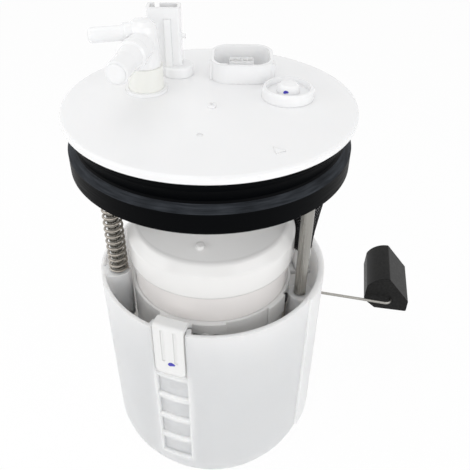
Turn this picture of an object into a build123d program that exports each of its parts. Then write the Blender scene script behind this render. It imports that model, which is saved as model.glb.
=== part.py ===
from build123d import *
import math
import os

os.makedirs("parts", exist_ok=True)

# In-tank fuel pump module. Millimetres, +Z up, origin at the centre of the base's underside.
# The reservoir cup stands on the tank's floor; the flange above it slides on two guide rods.

# ---- heights above the base's underside ----
module_height = 218.0        # top face of the flange
rim_height = 124.0           # rim of the reservoir

# ---- flange ----
flange_radius = 68.0
flange_thickness = 3.6
flange_edge = 1.2            # rounding of the flange's rim
skirt_radius = 58.0
skirt_wall = 2.5
skirt_depth = 22.0
rib_count = 12
rib_thickness = 1.6
rib_depth = 8.0
rib_reach = 5.0

# ---- tank seal ----
seal_radius = 66.8           # lower sealing band
seal_lip_radius = 66.3       # lip under the flange
seal_waist_radius = 62.8
seal_depth = 24.6
seal_band = 10.4             # height of the lower band
seal_ledge = 2.8             # height of the sloped ledge over the band
seal_lip = 2.2

# ---- guide rods and return spring ----
rod_radius = 3.2
rod_circle = 51.2            # radius at which both rods stand
left_rod_angle = 191.0
right_rod_angle = -20.0
rod_boss_radius = 6.2
rod_grip = 18.0              # length of rod pressed into the flange
rod_boss_depth = 22.0
rod_clearance = 0.05
left_guide_length = 32.0
right_guide_length = 32.0
right_guide_drop = 9.0       # the right guide's top below the rim
clip_gap = 0.2
clip_thickness = 0.8
clip_radius = 5.2
groove_depth = 0.7
rod_tail = 3.0               # rod below its clip
spring_wire = 0.65
spring_radius = 4.55         # to the middle of the wire
spring_pitch = 3.9

# ---- reservoir ----
wall_radius = 61.0           # outside, at the rim
wall_draft = 0.8             # taper of the wall, rim to bend
wall = 2.2
bend_height = 18.0
bend_radius = 25.3
base_radius = 54.5
base_height = 3.5
floor_thickness = 2.5

# latch ladder on the reservoir's front left
ladder_angle = -109.5
ladder_half_width = 8.7      # degrees
ladder_depth = 3.4
ladder_back = 2.0
ladder_foot = 20.0
rung_top = 90.6
rung_pitch = 17.9
rung_count = 4
rung_height = 2.8
rung_inset = 0.5

# fill valve in the reservoir's floor, strainer and jet pump on it
fill_place = (34.0, -22.0)
fill_stem = 3.0
fill_flap = 7.0
strainer_length = 60.0
strainer_width = 34.0
strainer_height = 5.0
jet_place = (-48.0, 0.0)
jet_radius = 3.5
jet_length = 22.0

# side pad
pad_start = -33.0
pad_end = 22.0
pad_rise = 1.3
pad_foot = 13.0
pad_chamfer = 5.0

# ---- level sender, on a flat at the back ----
sender_angle = 80.0          # direction that the flat faces
flat_distance = 51.0         # from the axis to the flat's outside
flat_foot = 24.0
track_spacing = 24.0
rail_width = 2.0
track_height = 76.0
track_foot = 30.0
sender_width = 21.6
sender_height = 52.0
sender_foot = 32.0
sender_lip = 1.2             # plate that hooks over the track's rails
rail_height = 2.8
arm_pivot_along = -2.0       # beside the flat's middle, towards the float
arm_pivot_height = 58.2
arm_wire = 0.95
arm_length = 110.0
arm_tilt = -2.69             # degrees, below level
arm_tail = 7.0               # wire behind the pivot
arm_bend = 4.0
arm_grip = 14.0              # wire inside the float
pivot_pin_radius = 2.0
pivot_clearance = 0.05
holder_radius = 7.0
holder_thickness = 3.0
float_length = 38.0

# ---- filter housing, round the pump ----
filter_radius = 42.5
filter_wall = 1.8
filter_foot = 14.0
filter_top = 139.0
bore_radius = 20.7           # inside of the tube that takes the pump
bore_wall = 1.5
bore_top = 112.0
leg_radius = 36.0
leg_angles = (60, 120, 240, 300)
leg_size = 6.0
element_gap = 1.2
pleats = 30
cap_radius = 44.8
cap_wall = 2.0
cap_lap = 4.5                # skirt below the housing's top edge
cap_rise = 8.5               # shoulder above it
dome_rise = 10.5             # top of the dome above the shoulder
elbow_rise = 5.0             # outlet's axis above the dome
cap_skirt_foot = filter_top - cap_lap
cap_shoulder = filter_top + cap_rise
cap_top = cap_shoulder + dome_rise
cap_fit = 0.1
gasket_height = 1.6

# ---- pump bracket ----
ring_wall = 1.6
ring_foot = rim_height - 40.0
ring_top = rim_height - 7.0
ring_fit = 0.1
tab_drop = 12.0              # height of the two thicker tabs below the ring's top edge
front_tab = (-103.0, -79.3)  # degrees
side_tab = (-47.0, -29.0)
hook_width = 16.6
hook_thickness = 2.2
hook_gap = 0.3
hook_bend = 2.0              # outer rounding where the hook turns down
arm_left = 13.2              # half widths of the hook's arm where it leaves the ring
arm_right = 5.6
tongue_foot = rim_height - 31.4
groove_cut = 0.4

# ---- pump ----
pump_radius = 19.0
pump_case_wall = 1.3
pump_foot = 30.0
pump_height = 60.0
inlet_height = 6.0
inlet_pipe = 5.4
inlet_bore = 3.8
outlet_pipe = 4.6
outlet_bore = 3.0
outlet_length = 13.0
end_cap_height = 8.0
shaft_radius = 1.6
shaft_clearance = 0.05
armature_radius = 13.2
armature_height = 26.0
armature_slots = 8
magnet_gap = 0.8
pole_angles = (0, 180)
impeller_radius = 15.0
impeller_height = 3.0
vanes = 18
commutator_radius = 5.0
commutator_height = 6.0

# ---- fittings on the flange: places on its top face ----
outlet_place = (-30.3, 11.5)
vent_place = (-16.5, 31.5)
tower_place = (-22.4, 33.0)
socket_place = (15.2, 31.5)
plug_place = (36.3, 4.5)
nub_place = (1.2, -7.1)
dimple_place = (-3.1, -34.0)

flange_under = module_height - flange_thickness
skirt_foot = flange_under - skirt_depth
floor_top = base_height + floor_thickness


def polar(radius, angle):
    """Point in plan at a radius and an angle in degrees."""
    return (radius * math.cos(math.radians(angle)), radius * math.sin(math.radians(angle)))


def upright(place=(0, 0)):
    """Vertical plane through a place in plan, with its own x along +X and its own y up."""
    return Plane(origin=(place[0], place[1], 0), x_dir=(1, 0, 0), z_dir=(0, -1, 0))


def turned(points, place=(0, 0), mode=Mode.ADD):
    """Turn a closed outline of (radius, height) points about the vertical axis at a place."""
    with BuildSketch(upright(place)) as outline:
        with BuildLine():
            Polyline(*points, close=True)
        make_face()
    revolve(outline.sketch, axis=Axis((place[0], place[1], 0), (0, 0, 1)), mode=mode)


def tube(radius, inner, foot, top, place=(0, 0), mode=Mode.ADD):
    """Upright tube, or a rod when its inner radius is 0."""
    with BuildSketch(Plane.XY.offset(foot)) as ring:
        with Locations(place):
            Circle(radius)
            if inner > 0:
                Circle(inner, mode=Mode.SUBTRACT)
    extrude(ring.sketch, amount=top - foot, mode=mode)


def sector(inner, outer, middle, half, foot, top, mode=Mode.ADD):
    """Block between two radii, two heights and middle - half to middle + half degrees."""
    start = middle - half
    with BuildSketch(Plane.XY.offset(foot)) as face:
        with BuildLine():
            far = CenterArc((0, 0), outer, start, 2 * half)
            near = CenterArc((0, 0), inner, start, 2 * half)
            Line(near @ 0, far @ 0)
            Line(near @ 1, far @ 1)
        make_face()
    extrude(face.sketch, amount=top - foot, mode=mode)


def facing(angle, distance, along=0.0, height=0.0):
    """Vertical plane that faces outward at an angle: its own x runs along the plane, y up."""
    out = polar(1.0, angle)
    side = (-out[1], out[0])
    origin = (out[0] * distance + side[0] * along, out[1] * distance + side[1] * along, height)
    return Plane(origin=origin, x_dir=(side[0], side[1], 0), z_dir=(out[0], out[1], 0))


left_rod = polar(rod_circle, left_rod_angle)
right_rod = polar(rod_circle, right_rod_angle)
rod_places = [left_rod, right_rod]

# ================= reservoir body =================

# Base cover: the plate that closes the reservoir's underside and stands on the tank floor.
inlet_slots = 6
with BuildPart() as base_cover:
    tube(base_radius, 0, 0, base_height)
    chamfer(base_cover.edges().group_by(Axis.Z)[0], 0.8)
    with BuildSketch(Plane.XY) as slots:
        with PolarLocations(base_radius * 0.62, inlet_slots):
            SlotOverall(12, 3.0, rotation=90)
    extrude(slots.sketch, amount=base_height, mode=Mode.SUBTRACT)
base_cover.part.label = "base_cover"
export_step(base_cover.part, "parts/base_cover.step")


def cup(inset, top):
    """Solid of the reservoir's outside, drawn in by inset: once for its outside, once for its hollow."""
    bend = wall_radius - wall_draft - inset
    with BuildPart() as solid:
        with BuildSketch(Plane.XZ) as half:
            with BuildLine():
                curve = JernArc((bend, bend_height), (0, -1), bend_radius - inset, -math.degrees(
                    math.asin((bend_height - base_height - inset) / (bend_radius - inset))))
                Polyline(curve @ 1, (0, base_height + inset), (0, top),
                         (wall_radius - inset, top), (bend, bend_height))
            make_face()
        revolve(half.sketch, axis=Axis.Z)
        with BuildSketch(facing(sender_angle, flat_distance - inset, height=flat_foot - inset)) as beyond:
            Rectangle(4 * wall_radius, 2 * top, align=(Align.CENTER, Align.MIN))
        extrude(beyond.sketch, amount=wall_radius, mode=Mode.SUBTRACT)
    return solid.part


back_radius = wall_radius - ladder_depth
with BuildPart() as reservoir:
    add(cup(0, rim_height))
    add(cup(wall, rim_height + 1), mode=Mode.SUBTRACT)
    # floor, thicker than the wall's own inset
    tube(base_radius - wall, 0, base_height, floor_top)
    # guide columns for the two rods, merged with the wall
    for angle, top, length in ((left_rod_angle, rim_height, left_guide_length),
                               (right_rod_angle, rim_height - right_guide_drop, right_guide_length)):
        with BuildSketch(Plane.XY.offset(top)) as column:
            with Locations(Location((0, 0, 0), (0, 0, angle))):
                with Locations(((rod_circle + wall_radius - wall - rod_boss_radius + 1) / 2, 0)):
                    SlotCenterToCenter(wall_radius - wall - rod_boss_radius + 1 - rod_circle,
                                       2 * rod_boss_radius)
        extrude(column.sketch, amount=-length)
        tube(rod_radius + rod_clearance, 0, top - length, top, polar(rod_circle, angle),
             mode=Mode.SUBTRACT)
    # latch ladder: a channel sunk in the wall, crossed by rungs
    sector(back_radius - ladder_back, wall_radius - wall + 0.5, ladder_angle, ladder_half_width + 2,
           ladder_foot - 2, rim_height)
    sector(back_radius, wall_radius + 1, ladder_angle, ladder_half_width, ladder_foot, rim_height,
           mode=Mode.SUBTRACT)
    for rung in range(rung_count):
        top = rung_top - rung * rung_pitch
        sector(back_radius - 0.5, wall_radius - wall_draft - rung_inset, ladder_angle,
               ladder_half_width + 0.5, top - rung_height, top)
    # side pad
    sector(wall_radius - wall_draft - 1, wall_radius + pad_rise, (pad_start + pad_end) / 2,
           (pad_end - pad_start) / 2, pad_foot + pad_chamfer, rim_height)
    # track for the level sender
    for side in (-1, 1):
        rail_plane = facing(sender_angle, flat_distance, along=side * track_spacing / 2, height=track_foot)
        with BuildSketch(rail_plane) as rail:
            Rectangle(rail_width, track_height, align=(Align.CENTER, Align.MIN))
        extrude(rail.sketch, amount=rail_height)
    # hole for the fill valve
    tube(fill_stem, 0, base_height, floor_top, fill_place, mode=Mode.SUBTRACT)
reservoir.part.label = "reservoir"
export_step(reservoir.part, "parts/reservoir.step")

# Fill valve: a rubber umbrella whose stem is pulled through the reservoir's floor.
with BuildPart() as fill_valve:
    turned([(0, base_height), (fill_stem, base_height), (fill_stem, floor_top),
            (fill_flap, floor_top), (fill_flap, floor_top + 0.5), (fill_stem, floor_top + 1.6),
            (0, floor_top + 1.6)], fill_place)
fill_valve.part.label = "fill_valve"
export_step(fill_valve.part, "parts/fill_valve.step")

# Strainer: a flat filter sock on the floor, with a neck that takes the pump's inlet.
strainer_top = floor_top + strainer_height
inlet_foot = filter_foot + 4.0
with BuildPart() as strainer:
    with BuildSketch(Plane.XY.offset(floor_top)):
        RectangleRounded(strainer_length, strainer_width, 8)
    extrude(amount=strainer_height)
    fillet(strainer.faces().sort_by(Axis.Z)[-1].edges(), 1.6)
    tube(inlet_pipe + 1.8, 0, strainer_top - 0.5, inlet_foot + inlet_height)
    tube(inlet_pipe, 0, inlet_foot, inlet_foot + inlet_height, mode=Mode.SUBTRACT)
    tube(inlet_bore, 0, strainer_top - 1, inlet_foot, mode=Mode.SUBTRACT)
strainer.part.label = "strainer"
export_step(strainer.part, "parts/strainer.step")

# Jet pump: an ejector lying on the floor, with its nozzle standing up.
with BuildPart() as jet_pump:
    lying = Plane(origin=(jet_place[0], jet_place[1] - jet_length / 2, floor_top + jet_radius),
                  x_dir=(1, 0, 0), z_dir=(0, 1, 0))
    with BuildSketch(lying):
        Circle(jet_radius)
    extrude(amount=jet_length)
    tube(jet_radius * 0.7, 0, floor_top + jet_radius, floor_top + 5 * jet_radius, jet_place)
    with BuildSketch(Plane.XY.offset(floor_top)):
        with Locations(jet_place):
            Rectangle(jet_radius, jet_length * 0.6)
    extrude(amount=jet_radius)
    with BuildSketch(lying) as throat:
        Circle(jet_radius * 0.5)
    extrude(throat.sketch, amount=jet_length, mode=Mode.SUBTRACT)
    tube(jet_radius * 0.35, 0, floor_top + jet_radius, floor_top + 5 * jet_radius, jet_place,
         mode=Mode.SUBTRACT)
jet_pump.part.label = "jet_pump"
export_step(jet_pump.part, "parts/jet_pump.step")

# Filter housing: a ring-shaped tub whose middle tube takes the pump.
bore_outer = bore_radius + bore_wall
with BuildPart() as filter_housing:
    tube(filter_radius, filter_radius - filter_wall, filter_foot, filter_top)
    tube(filter_radius, bore_radius, filter_foot, filter_foot + filter_wall)
    tube(bore_outer, bore_radius, filter_foot, bore_top)
    with BuildSketch(Plane.XY.offset(floor_top)):
        with Locations(*[polar(leg_radius, leg) for leg in leg_angles]):
            Rectangle(leg_size, leg_size)
    extrude(amount=filter_foot - floor_top)
filter_housing.part.label = "filter_housing"
export_step(filter_housing.part, "parts/filter_housing.step")

# Filter element: pleated paper between two end rings.
element_outer = filter_radius - filter_wall - element_gap
element_inner = bore_outer + element_gap
element_foot = filter_foot + filter_wall
element_top = bore_top - 2
with BuildPart() as filter_element:
    with BuildSketch(Plane.XY.offset(element_foot + 2)):
        with BuildLine():
            star = []
            for pleat in range(pleats):
                star.append(polar(element_outer - 1, 360 * pleat / pleats))
                star.append(polar(element_inner + 6, 360 * (pleat + 0.5) / pleats))
            Polyline(*star, close=True)
        make_face()
        Circle(element_inner + 1, mode=Mode.SUBTRACT)
    extrude(amount=element_top - element_foot - 4)
    tube(element_outer, element_inner, element_foot, element_foot + 2)
    tube(element_outer, element_inner, element_top - 2, element_top)
filter_element.part.label = "filter_element"
export_step(filter_element.part, "parts/filter_element.step")

# Filter cap: a dome whose skirt drops over the housing, with an outlet elbow at the back.
cap_inner = cap_radius - cap_wall
cap_nub = (-4.5, -30.0)
elbow_place = (14.0, 28.0)
elbow_height = cap_top + elbow_rise
barb_radius = 3.6
barb_bore = 2.2
barb_length = 14.0
elbow_radius = 5.2
to_outlet = Vector(outlet_place[0] - elbow_place[0], outlet_place[1] - elbow_place[1], 0).normalized()


def spun(points, origin, direction, mode=Mode.ADD):
    """Turn a closed outline of (distance, radius) points about a level axis."""
    side = Vector(direction.Y, -direction.X, 0)
    with BuildSketch(Plane(origin=origin, x_dir=direction, z_dir=side)) as outline:
        with BuildLine():
            Polyline(*points, close=True)
        make_face()
    revolve(outline.sketch, axis=Axis(origin, direction), mode=mode)


def dome(inset):
    """Outline of the cap from its skirt's foot over the top, drawn in by inset."""
    with BuildSketch(Plane.XZ) as half:
        with BuildLine():
            Polyline((0, cap_skirt_foot - 1), (cap_radius - inset, cap_skirt_foot - 1),
                     (cap_radius - inset, cap_shoulder), (cap_radius - 4.0 - inset, cap_shoulder + 5.5),
                     (cap_radius * 0.45, cap_top - 0.8 - inset), (0, cap_top - inset), close=True)
        make_face()
    return half.sketch


with BuildPart() as filter_cap:
    revolve(dome(0), axis=Axis.Z)
    shoulder_edges = filter_cap.edges().filter_by(GeomType.CIRCLE).filter_by(
        lambda edge: edge.radius > cap_radius / 2).filter_by_position(
        Axis.Z, cap_shoulder - 0.5, cap_shoulder + 6)
    fillet(shoulder_edges, 2.6)
    revolve(dome(cap_wall), axis=Axis.Z, mode=Mode.SUBTRACT)
    tube(cap_radius + 1, 0, cap_skirt_foot - 2, cap_skirt_foot, mode=Mode.SUBTRACT)
    # inside of the skirt, opened to the housing's size up to the gasket's seat
    tube(filter_radius + cap_fit, 0, cap_skirt_foot, filter_top + gasket_height, mode=Mode.SUBTRACT)
    tube(cap_inner + 0.5, filter_radius - filter_wall - 1, filter_top + gasket_height,
         filter_top + gasket_height + 2)
    # ejector nub on the dome, and the outlet elbow
    tube(2.1, 0, cap_shoulder + 4, cap_top - 1.0, cap_nub)
    tube(elbow_radius, 0, cap_shoulder + 3, elbow_height + elbow_radius - 1.5, elbow_place)
    elbow_origin = Vector(elbow_place[0], elbow_place[1], elbow_height)
    spun([(0, 0), (0, barb_radius), (elbow_radius + barb_length, barb_radius),
          (elbow_radius + barb_length, 0)], elbow_origin, to_outlet)
    spun([(0, 0), (0, barb_bore), (elbow_radius + barb_length, barb_bore),
          (elbow_radius + barb_length, 0)], elbow_origin, to_outlet, mode=Mode.SUBTRACT)
    tube(barb_bore, 0, cap_shoulder - 3, elbow_height, elbow_place, mode=Mode.SUBTRACT)
filter_cap.part.label = "filter_cap"
export_step(filter_cap.part, "parts/filter_cap.step")

# Gasket between the housing's top edge and the cap.
with BuildPart() as cap_gasket:
    tube(filter_radius, filter_radius - filter_wall, filter_top, filter_top + gasket_height)
cap_gasket.part.label = "cap_gasket"
export_step(cap_gasket.part, "parts/cap_gasket.step")

# Pump bracket: a ring round the filter housing, with two thicker tabs, a shelf for the harness
# plug and a hook whose arm climbs over the reservoir's rim and turns down into a tongue.
ring_inner = filter_radius + ring_fit
ring_outer = ring_inner + ring_wall
tab_thickness = 1.4
plug_angle = 9.0
plug_radius = 51.5
shelf_top = rim_height - 11.0
tongue_back = back_radius + hook_gap
tongue_front = tongue_back + hook_thickness
hook_foot = rim_height + hook_gap
hook_top = hook_foot + hook_thickness
arm_rise = back_radius - ladder_back - 2.2   # radius at which the arm has climbed to the rim
sight_angle = -92.9
sight_height = ring_top - 7.6
arm_way = polar(1, ladder_angle)
arm_side = (-arm_way[1], arm_way[0])


def arm_place(along, beside):
    """Point in plan: a distance along the hook's arm and one to its right."""
    return (arm_way[0] * along + arm_side[0] * beside, arm_way[1] * along + arm_side[1] * beside)


with BuildPart() as hook:
    upright_arm = Plane(origin=(0, 0, 0), x_dir=(*arm_way, 0), z_dir=(*polar(1, ladder_angle - 90), 0))
    arm_under = ring_top - 1.5 * hook_thickness
    with BuildSketch(upright_arm) as profile:
        with BuildLine():
            Polyline((ring_inner - 1, ring_top), (ring_outer, ring_top), (arm_rise, hook_top),
                     (tongue_front - hook_bend, hook_top))
            RadiusArc((tongue_front - hook_bend, hook_top), (tongue_front, hook_top - hook_bend), hook_bend)
            Polyline((tongue_front, hook_top - hook_bend), (tongue_front, hook_foot - 6),
                     (tongue_back, hook_foot - 6), (tongue_back, hook_foot), (arm_rise + 1.0, hook_foot),
                     (ring_outer, arm_under), (ring_inner - 1, arm_under), (ring_inner - 1, ring_top))
        make_face()
    extrude(profile.sketch, amount=arm_left + 1, both=True)
    # the arm narrows from the ring to the tongue
    with BuildSketch(Plane.XY) as plan:
        with BuildLine():
            Polyline(arm_place(ring_inner - 2, -arm_left), arm_place(arm_rise, -hook_width / 2),
                     arm_place(tongue_front + 1, -hook_width / 2),
                     arm_place(tongue_front + 1, hook_width / 2),
                     arm_place(arm_rise, hook_width / 2), arm_place(ring_inner - 2, arm_right), close=True)
        make_face()
    extrude(plan.sketch, amount=module_height, mode=Mode.INTERSECT)

with BuildPart() as pump_bracket:
    tube(ring_outer, ring_inner, ring_foot, ring_top)
    for start, end in (front_tab, side_tab):
        sector(ring_outer - 0.5, ring_outer + tab_thickness, (start + end) / 2, (end - start) / 2,
               ring_top - tab_drop, ring_top)
    # the front tab's two sight holes and the rivet between them
    for along in (-5.1, 5.1):
        with BuildSketch(facing(sight_angle, ring_inner - 2, along=along, height=sight_height)) as sight:
            Circle(1.4)
        extrude(sight.sketch, amount=tab_thickness + 5, mode=Mode.SUBTRACT)
    with BuildSketch(facing(sight_angle, ring_outer, height=sight_height)) as rivet:
        Circle(2.4)
    extrude(rivet.sketch, amount=tab_thickness + 1.2)
    # shelf for the harness plug
    sector(ring_outer - 0.5, plug_radius + 5, plug_angle, 6, shelf_top - 2.5, shelf_top)
    # hook and tongue over the rim
    add(hook.part)
    with BuildSketch(facing(ladder_angle, tongue_back, height=tongue_foot)) as tongue:
        Rectangle(hook_width, hook_foot - 2 - tongue_foot, align=(Align.CENTER, Align.MIN))
        fillet(tongue.vertices().group_by(Axis.Z)[0], 3.0)
    extrude(tongue.sketch, amount=hook_thickness)
    tube(ring_inner, 0, ring_foot, hook_top, mode=Mode.SUBTRACT)
    # two shallow grooves down the tongue
    for along in (-3.4, 3.4):
        with BuildSketch(facing(ladder_angle, tongue_front - groove_cut, along=along,
                                height=tongue_foot + 9)) as groove:
            Rectangle(1.6, hook_top - hook_bend - tongue_foot - 10, align=(Align.CENTER, Align.MIN))
        extrude(groove.sketch, amount=2, mode=Mode.SUBTRACT)
pump_bracket.part.label = "pump_bracket"
export_step(pump_bracket.part, "parts/pump_bracket.step")

# Ground strap clipped to the ring, with a black boot on its upper end.
strap_angle = -26.5
strap_top = ring_top - 6.5
with BuildPart() as ground_strap:
    with BuildSketch(facing(strap_angle, ring_outer + 0.3, height=ring_foot + 4)) as strip:
        Rectangle(2.6, strap_top - ring_foot - 4, align=(Align.CENTER, Align.MIN))
    extrude(strip.sketch, amount=0.8)
    with BuildSketch(facing(strap_angle, ring_outer - 0.6, height=ring_foot + 4)) as clip:
        Rectangle(2.6, 3, align=(Align.CENTER, Align.MIN))
    extrude(clip.sketch, amount=1.0)
    tube(ring_outer, 0, ring_foot, ring_top, mode=Mode.SUBTRACT)
ground_strap.part.label = "ground_strap"
export_step(ground_strap.part, "parts/ground_strap.step")

with BuildPart() as strap_boot:
    with BuildSketch(facing(strap_angle, ring_outer + 0.1, height=strap_top)) as boot:
        Rectangle(2.6, 5.0, align=(Align.CENTER, Align.MIN))
    extrude(boot.sketch, amount=1.6)
    fillet(strap_boot.edges().filter_by(Axis.Z), 0.5)
strap_boot.part.label = "strap_boot"
export_step(strap_boot.part, "parts/strap_boot.step")

# ---- the pump, held in the housing's middle tube ----
pump_top = pump_foot + pump_height
case_inner = pump_radius - pump_case_wall
cap_foot = pump_top - end_cap_height
impeller_foot = pump_foot + inlet_height + 1.0
armature_foot = impeller_foot + impeller_height + 8.0
armature_top = armature_foot + armature_height
magnet_inner = armature_radius + magnet_gap

with BuildPart() as pump_case:
    tube(pump_radius, case_inner, pump_foot, pump_top)
pump_case.part.label = "pump_case"
export_step(pump_case.part, "parts/pump_case.step")

with BuildPart() as pump_isolators:
    for foot in (pump_foot + 5, pump_top - 13):
        tube(bore_radius, pump_radius, foot, foot + 8)
pump_isolators.part.label = "pump_isolators"
export_step(pump_isolators.part, "parts/pump_isolators.step")

# Inlet cover: closes the case's foot, with the impeller's chamber above its inlet pipe.
with BuildPart() as pump_inlet:
    tube(case_inner, 0, pump_foot, impeller_foot + impeller_height + 3.0)
    tube(impeller_radius + 0.3, 0, impeller_foot - 0.3, impeller_foot + impeller_height + 0.3,
         mode=Mode.SUBTRACT)
    tube(inlet_pipe, 0, inlet_foot, pump_foot)
    tube(inlet_bore, 0, inlet_foot, impeller_foot, mode=Mode.SUBTRACT)
    tube(shaft_radius + shaft_clearance, 0, impeller_foot, impeller_foot + impeller_height + 4,
         mode=Mode.SUBTRACT)
pump_inlet.part.label = "pump_inlet"
export_step(pump_inlet.part, "parts/pump_inlet.step")

# End cap: closes the case's top, carries the shaft's upper bearing and the outlet pipe.
shaft_top = cap_foot + 4.0
outlet_top = pump_top + outlet_length
valve_seat = pump_top + 4.0
with BuildPart() as pump_end_cap:
    tube(case_inner, 0, cap_foot, pump_top)
    tube(outlet_pipe, 0, pump_top, outlet_top)
    tube(shaft_radius + shaft_clearance, 0, cap_foot, shaft_top + 0.5, mode=Mode.SUBTRACT)
    tube(outlet_bore, 0, valve_seat, outlet_top - 1.5, mode=Mode.SUBTRACT)
    tube(outlet_bore * 0.6, 0, shaft_top + 1.5, outlet_top, mode=Mode.SUBTRACT)
    # two brush caps beside the outlet
    with BuildSketch(Plane.XY.offset(pump_top)):
        with PolarLocations(pump_radius * 0.6, 2):
            Circle(3.2)
    extrude(amount=3)
pump_end_cap.part.label = "pump_end_cap"
export_step(pump_end_cap.part, "parts/pump_end_cap.step")

with BuildPart() as pump_magnets:
    for middle in pole_angles:
        sector(magnet_inner, case_inner, middle, 70, armature_foot - 1, armature_top + 1)
pump_magnets.part.label = "pump_magnets"
export_step(pump_magnets.part, "parts/pump_magnets.step")

# ---- rotor ----
with BuildPart() as rotor_shaft:
    tube(shaft_radius, 0, impeller_foot, shaft_top)
rotor_shaft.part.label = "rotor_shaft"
export_step(rotor_shaft.part, "parts/rotor_shaft.step")

with BuildPart() as armature:
    tube(armature_radius, shaft_radius, armature_foot, armature_top)
    with BuildSketch(Plane.XY.offset(armature_foot)) as slots:
        with PolarLocations(armature_radius, armature_slots):
            Rectangle(7, 1.6)
    extrude(slots.sketch, amount=armature_height, mode=Mode.SUBTRACT)
armature.part.label = "armature"
export_step(armature.part, "parts/armature.step")

with BuildPart() as commutator:
    tube(commutator_radius, shaft_radius, armature_top + 1, armature_top + 1 + commutator_height)
commutator.part.label = "commutator"
export_step(commutator.part, "parts/commutator.step")

with BuildPart() as impeller:
    tube(impeller_radius, shaft_radius, impeller_foot, impeller_foot + impeller_height)
    with BuildSketch(Plane.XY.offset(impeller_foot)) as pockets:
        with PolarLocations(impeller_radius, vanes):
            Rectangle(5, 1.6)
    extrude(pockets.sketch, amount=impeller_height, mode=Mode.SUBTRACT)
impeller.part.label = "impeller"
export_step(impeller.part, "parts/impeller.step")


coil_steps = 10              # facets to a turn
coil_sides = 5               # facets round the wire
closed_gap = 0.08            # between the turns of a closed end


def coil(radius, wire, pitch, foot, top, place=(0, 0)):
    """Compression spring between two heights, faceted, with a closed turn at each end."""
    low = foot + wire
    closed = 2 * wire + closed_gap
    open_height = top - wire - low - 2 * closed
    open_turns = round(2 * open_height / pitch) / 2
    rings = []
    for step in range(round((open_turns + 2) * coil_steps) + 1):
        turn = step / coil_steps
        opened = min(max(turn - 1, 0), open_turns)
        height = low + (turn - opened) * closed + opened * open_height / open_turns
        ring = []
        for side in range(coil_sides):
            round_wire = 2 * math.pi * (side + 0.5) / coil_sides
            x, y = polar(radius + wire * math.cos(round_wire), 360 * turn)
            ring.append(Vector(place[0] + x, place[1] + y, height + wire * math.sin(round_wire)))
        rings.append(ring)
    faces = [Face(Wire.make_polygon(rings[0])), Face(Wire.make_polygon(rings[-1]))]
    for near, far in zip(rings, rings[1:]):
        for side in range(coil_sides):
            beside = (side + 1) % coil_sides
            faces.append(Face(Wire.make_polygon([near[side], near[beside], far[beside]])))
            faces.append(Face(Wire.make_polygon([near[side], far[beside], far[side]])))
    spring = Solid(Shell(faces))
    return spring


# Check valve in the outlet pipe: a poppet pressed on its seat by a small spring.
valve_lift = 1.5
poppet_height = 1.4
with BuildPart() as check_valve:
    tube(outlet_bore - 0.4, 0, valve_seat, valve_seat + poppet_height)
    tube(1.2, 0, valve_seat + poppet_height, valve_seat + poppet_height + 2)
check_valve.part.label = "check_valve"
export_step(check_valve.part, "parts/check_valve.step")

check_spring = coil(1.9, 0.25, 1.4, valve_seat + poppet_height, outlet_top - 1.5)
check_spring.label = "check_spring"
export_step(check_spring, "parts/check_spring.step")

# ---- level sender on the reservoir's flat ----
housing_width = track_spacing - rail_width
lip_distance = flat_distance + rail_height
front_distance = lip_distance + sender_lip
card_thickness = 0.6
card_inner = holder_radius + 1.5
card_outer = card_inner + 6.0
card_start = 60.0            # degrees round the pivot
card_sweep = 120.0
arm_gap = 0.15
holder_distance = front_distance + arm_gap
wire_distance = holder_distance + holder_thickness + arm_wire / 2
float_face = wire_distance + arm_bend

def pivot_plane(distance):
    """Plane facing outward with its origin on the arm's pivot axis."""
    return facing(sender_angle, distance, along=arm_pivot_along, height=arm_pivot_height)


def card_shape(depth, mode=Mode.ADD):
    """Fan-shaped card round the pivot, from the housing's recess outwards."""
    with BuildSketch(pivot_plane(front_distance - card_thickness)) as face:
        with BuildLine():
            far = CenterArc((0, 0), card_outer, card_start, card_sweep)
            near = CenterArc((0, 0), card_inner, card_start, card_sweep)
            Line(near @ 0, far @ 0)
            Line(near @ 1, far @ 1)
        make_face()
    extrude(face.sketch, amount=depth, mode=mode)


with BuildPart() as sender_housing:
    with BuildSketch(facing(sender_angle, flat_distance, height=sender_foot)) as block:
        Rectangle(housing_width, sender_height, align=(Align.CENTER, Align.MIN))
    extrude(block.sketch, amount=rail_height)
    with BuildSketch(facing(sender_angle, lip_distance, height=sender_foot)) as front:
        Rectangle(track_spacing + 4, sender_height, align=(Align.CENTER, Align.MIN))
        fillet(front.vertices(), 2.5)
    extrude(front.sketch, amount=sender_lip)
    with BuildSketch(pivot_plane(front_distance)) as pin:
        Circle(pivot_pin_radius)
    extrude(pin.sketch, amount=arm_gap + holder_thickness - arm_wire)
    # recess for the resistor card
    card_shape(card_thickness + 1, mode=Mode.SUBTRACT)
sender_housing.part.label = "sender_housing"
export_step(sender_housing.part, "parts/sender_housing.step")

with BuildPart() as resistor_card:
    card_shape(card_thickness)
resistor_card.part.label = "resistor_card"
export_step(resistor_card.part, "parts/resistor_card.step")

# Arm holder: turns on the housing's pin and grips the wire on its face.
with BuildPart() as arm_holder:
    with BuildSketch(pivot_plane(holder_distance)) as disc:
        Circle(holder_radius)
        with Locations((-holder_radius, -0.4)):
            Rectangle(2 * holder_radius, 6.0)
        Circle(pivot_pin_radius + pivot_clearance, mode=Mode.SUBTRACT)
    extrude(disc.sketch, amount=holder_thickness)
    # groove along the face for the wire
    with BuildSketch(pivot_plane(wire_distance)) as groove:
        with Locations(Location((0, 0, 0), (0, 0, -arm_tilt))):
            with Locations((-holder_radius, 0)):
                Rectangle(6 * holder_radius, 2 * arm_wire)
    extrude(groove.sketch, amount=-arm_wire, mode=Mode.SUBTRACT)
arm_holder.part.label = "arm_holder"
export_step(arm_holder.part, "parts/arm_holder.step")

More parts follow.
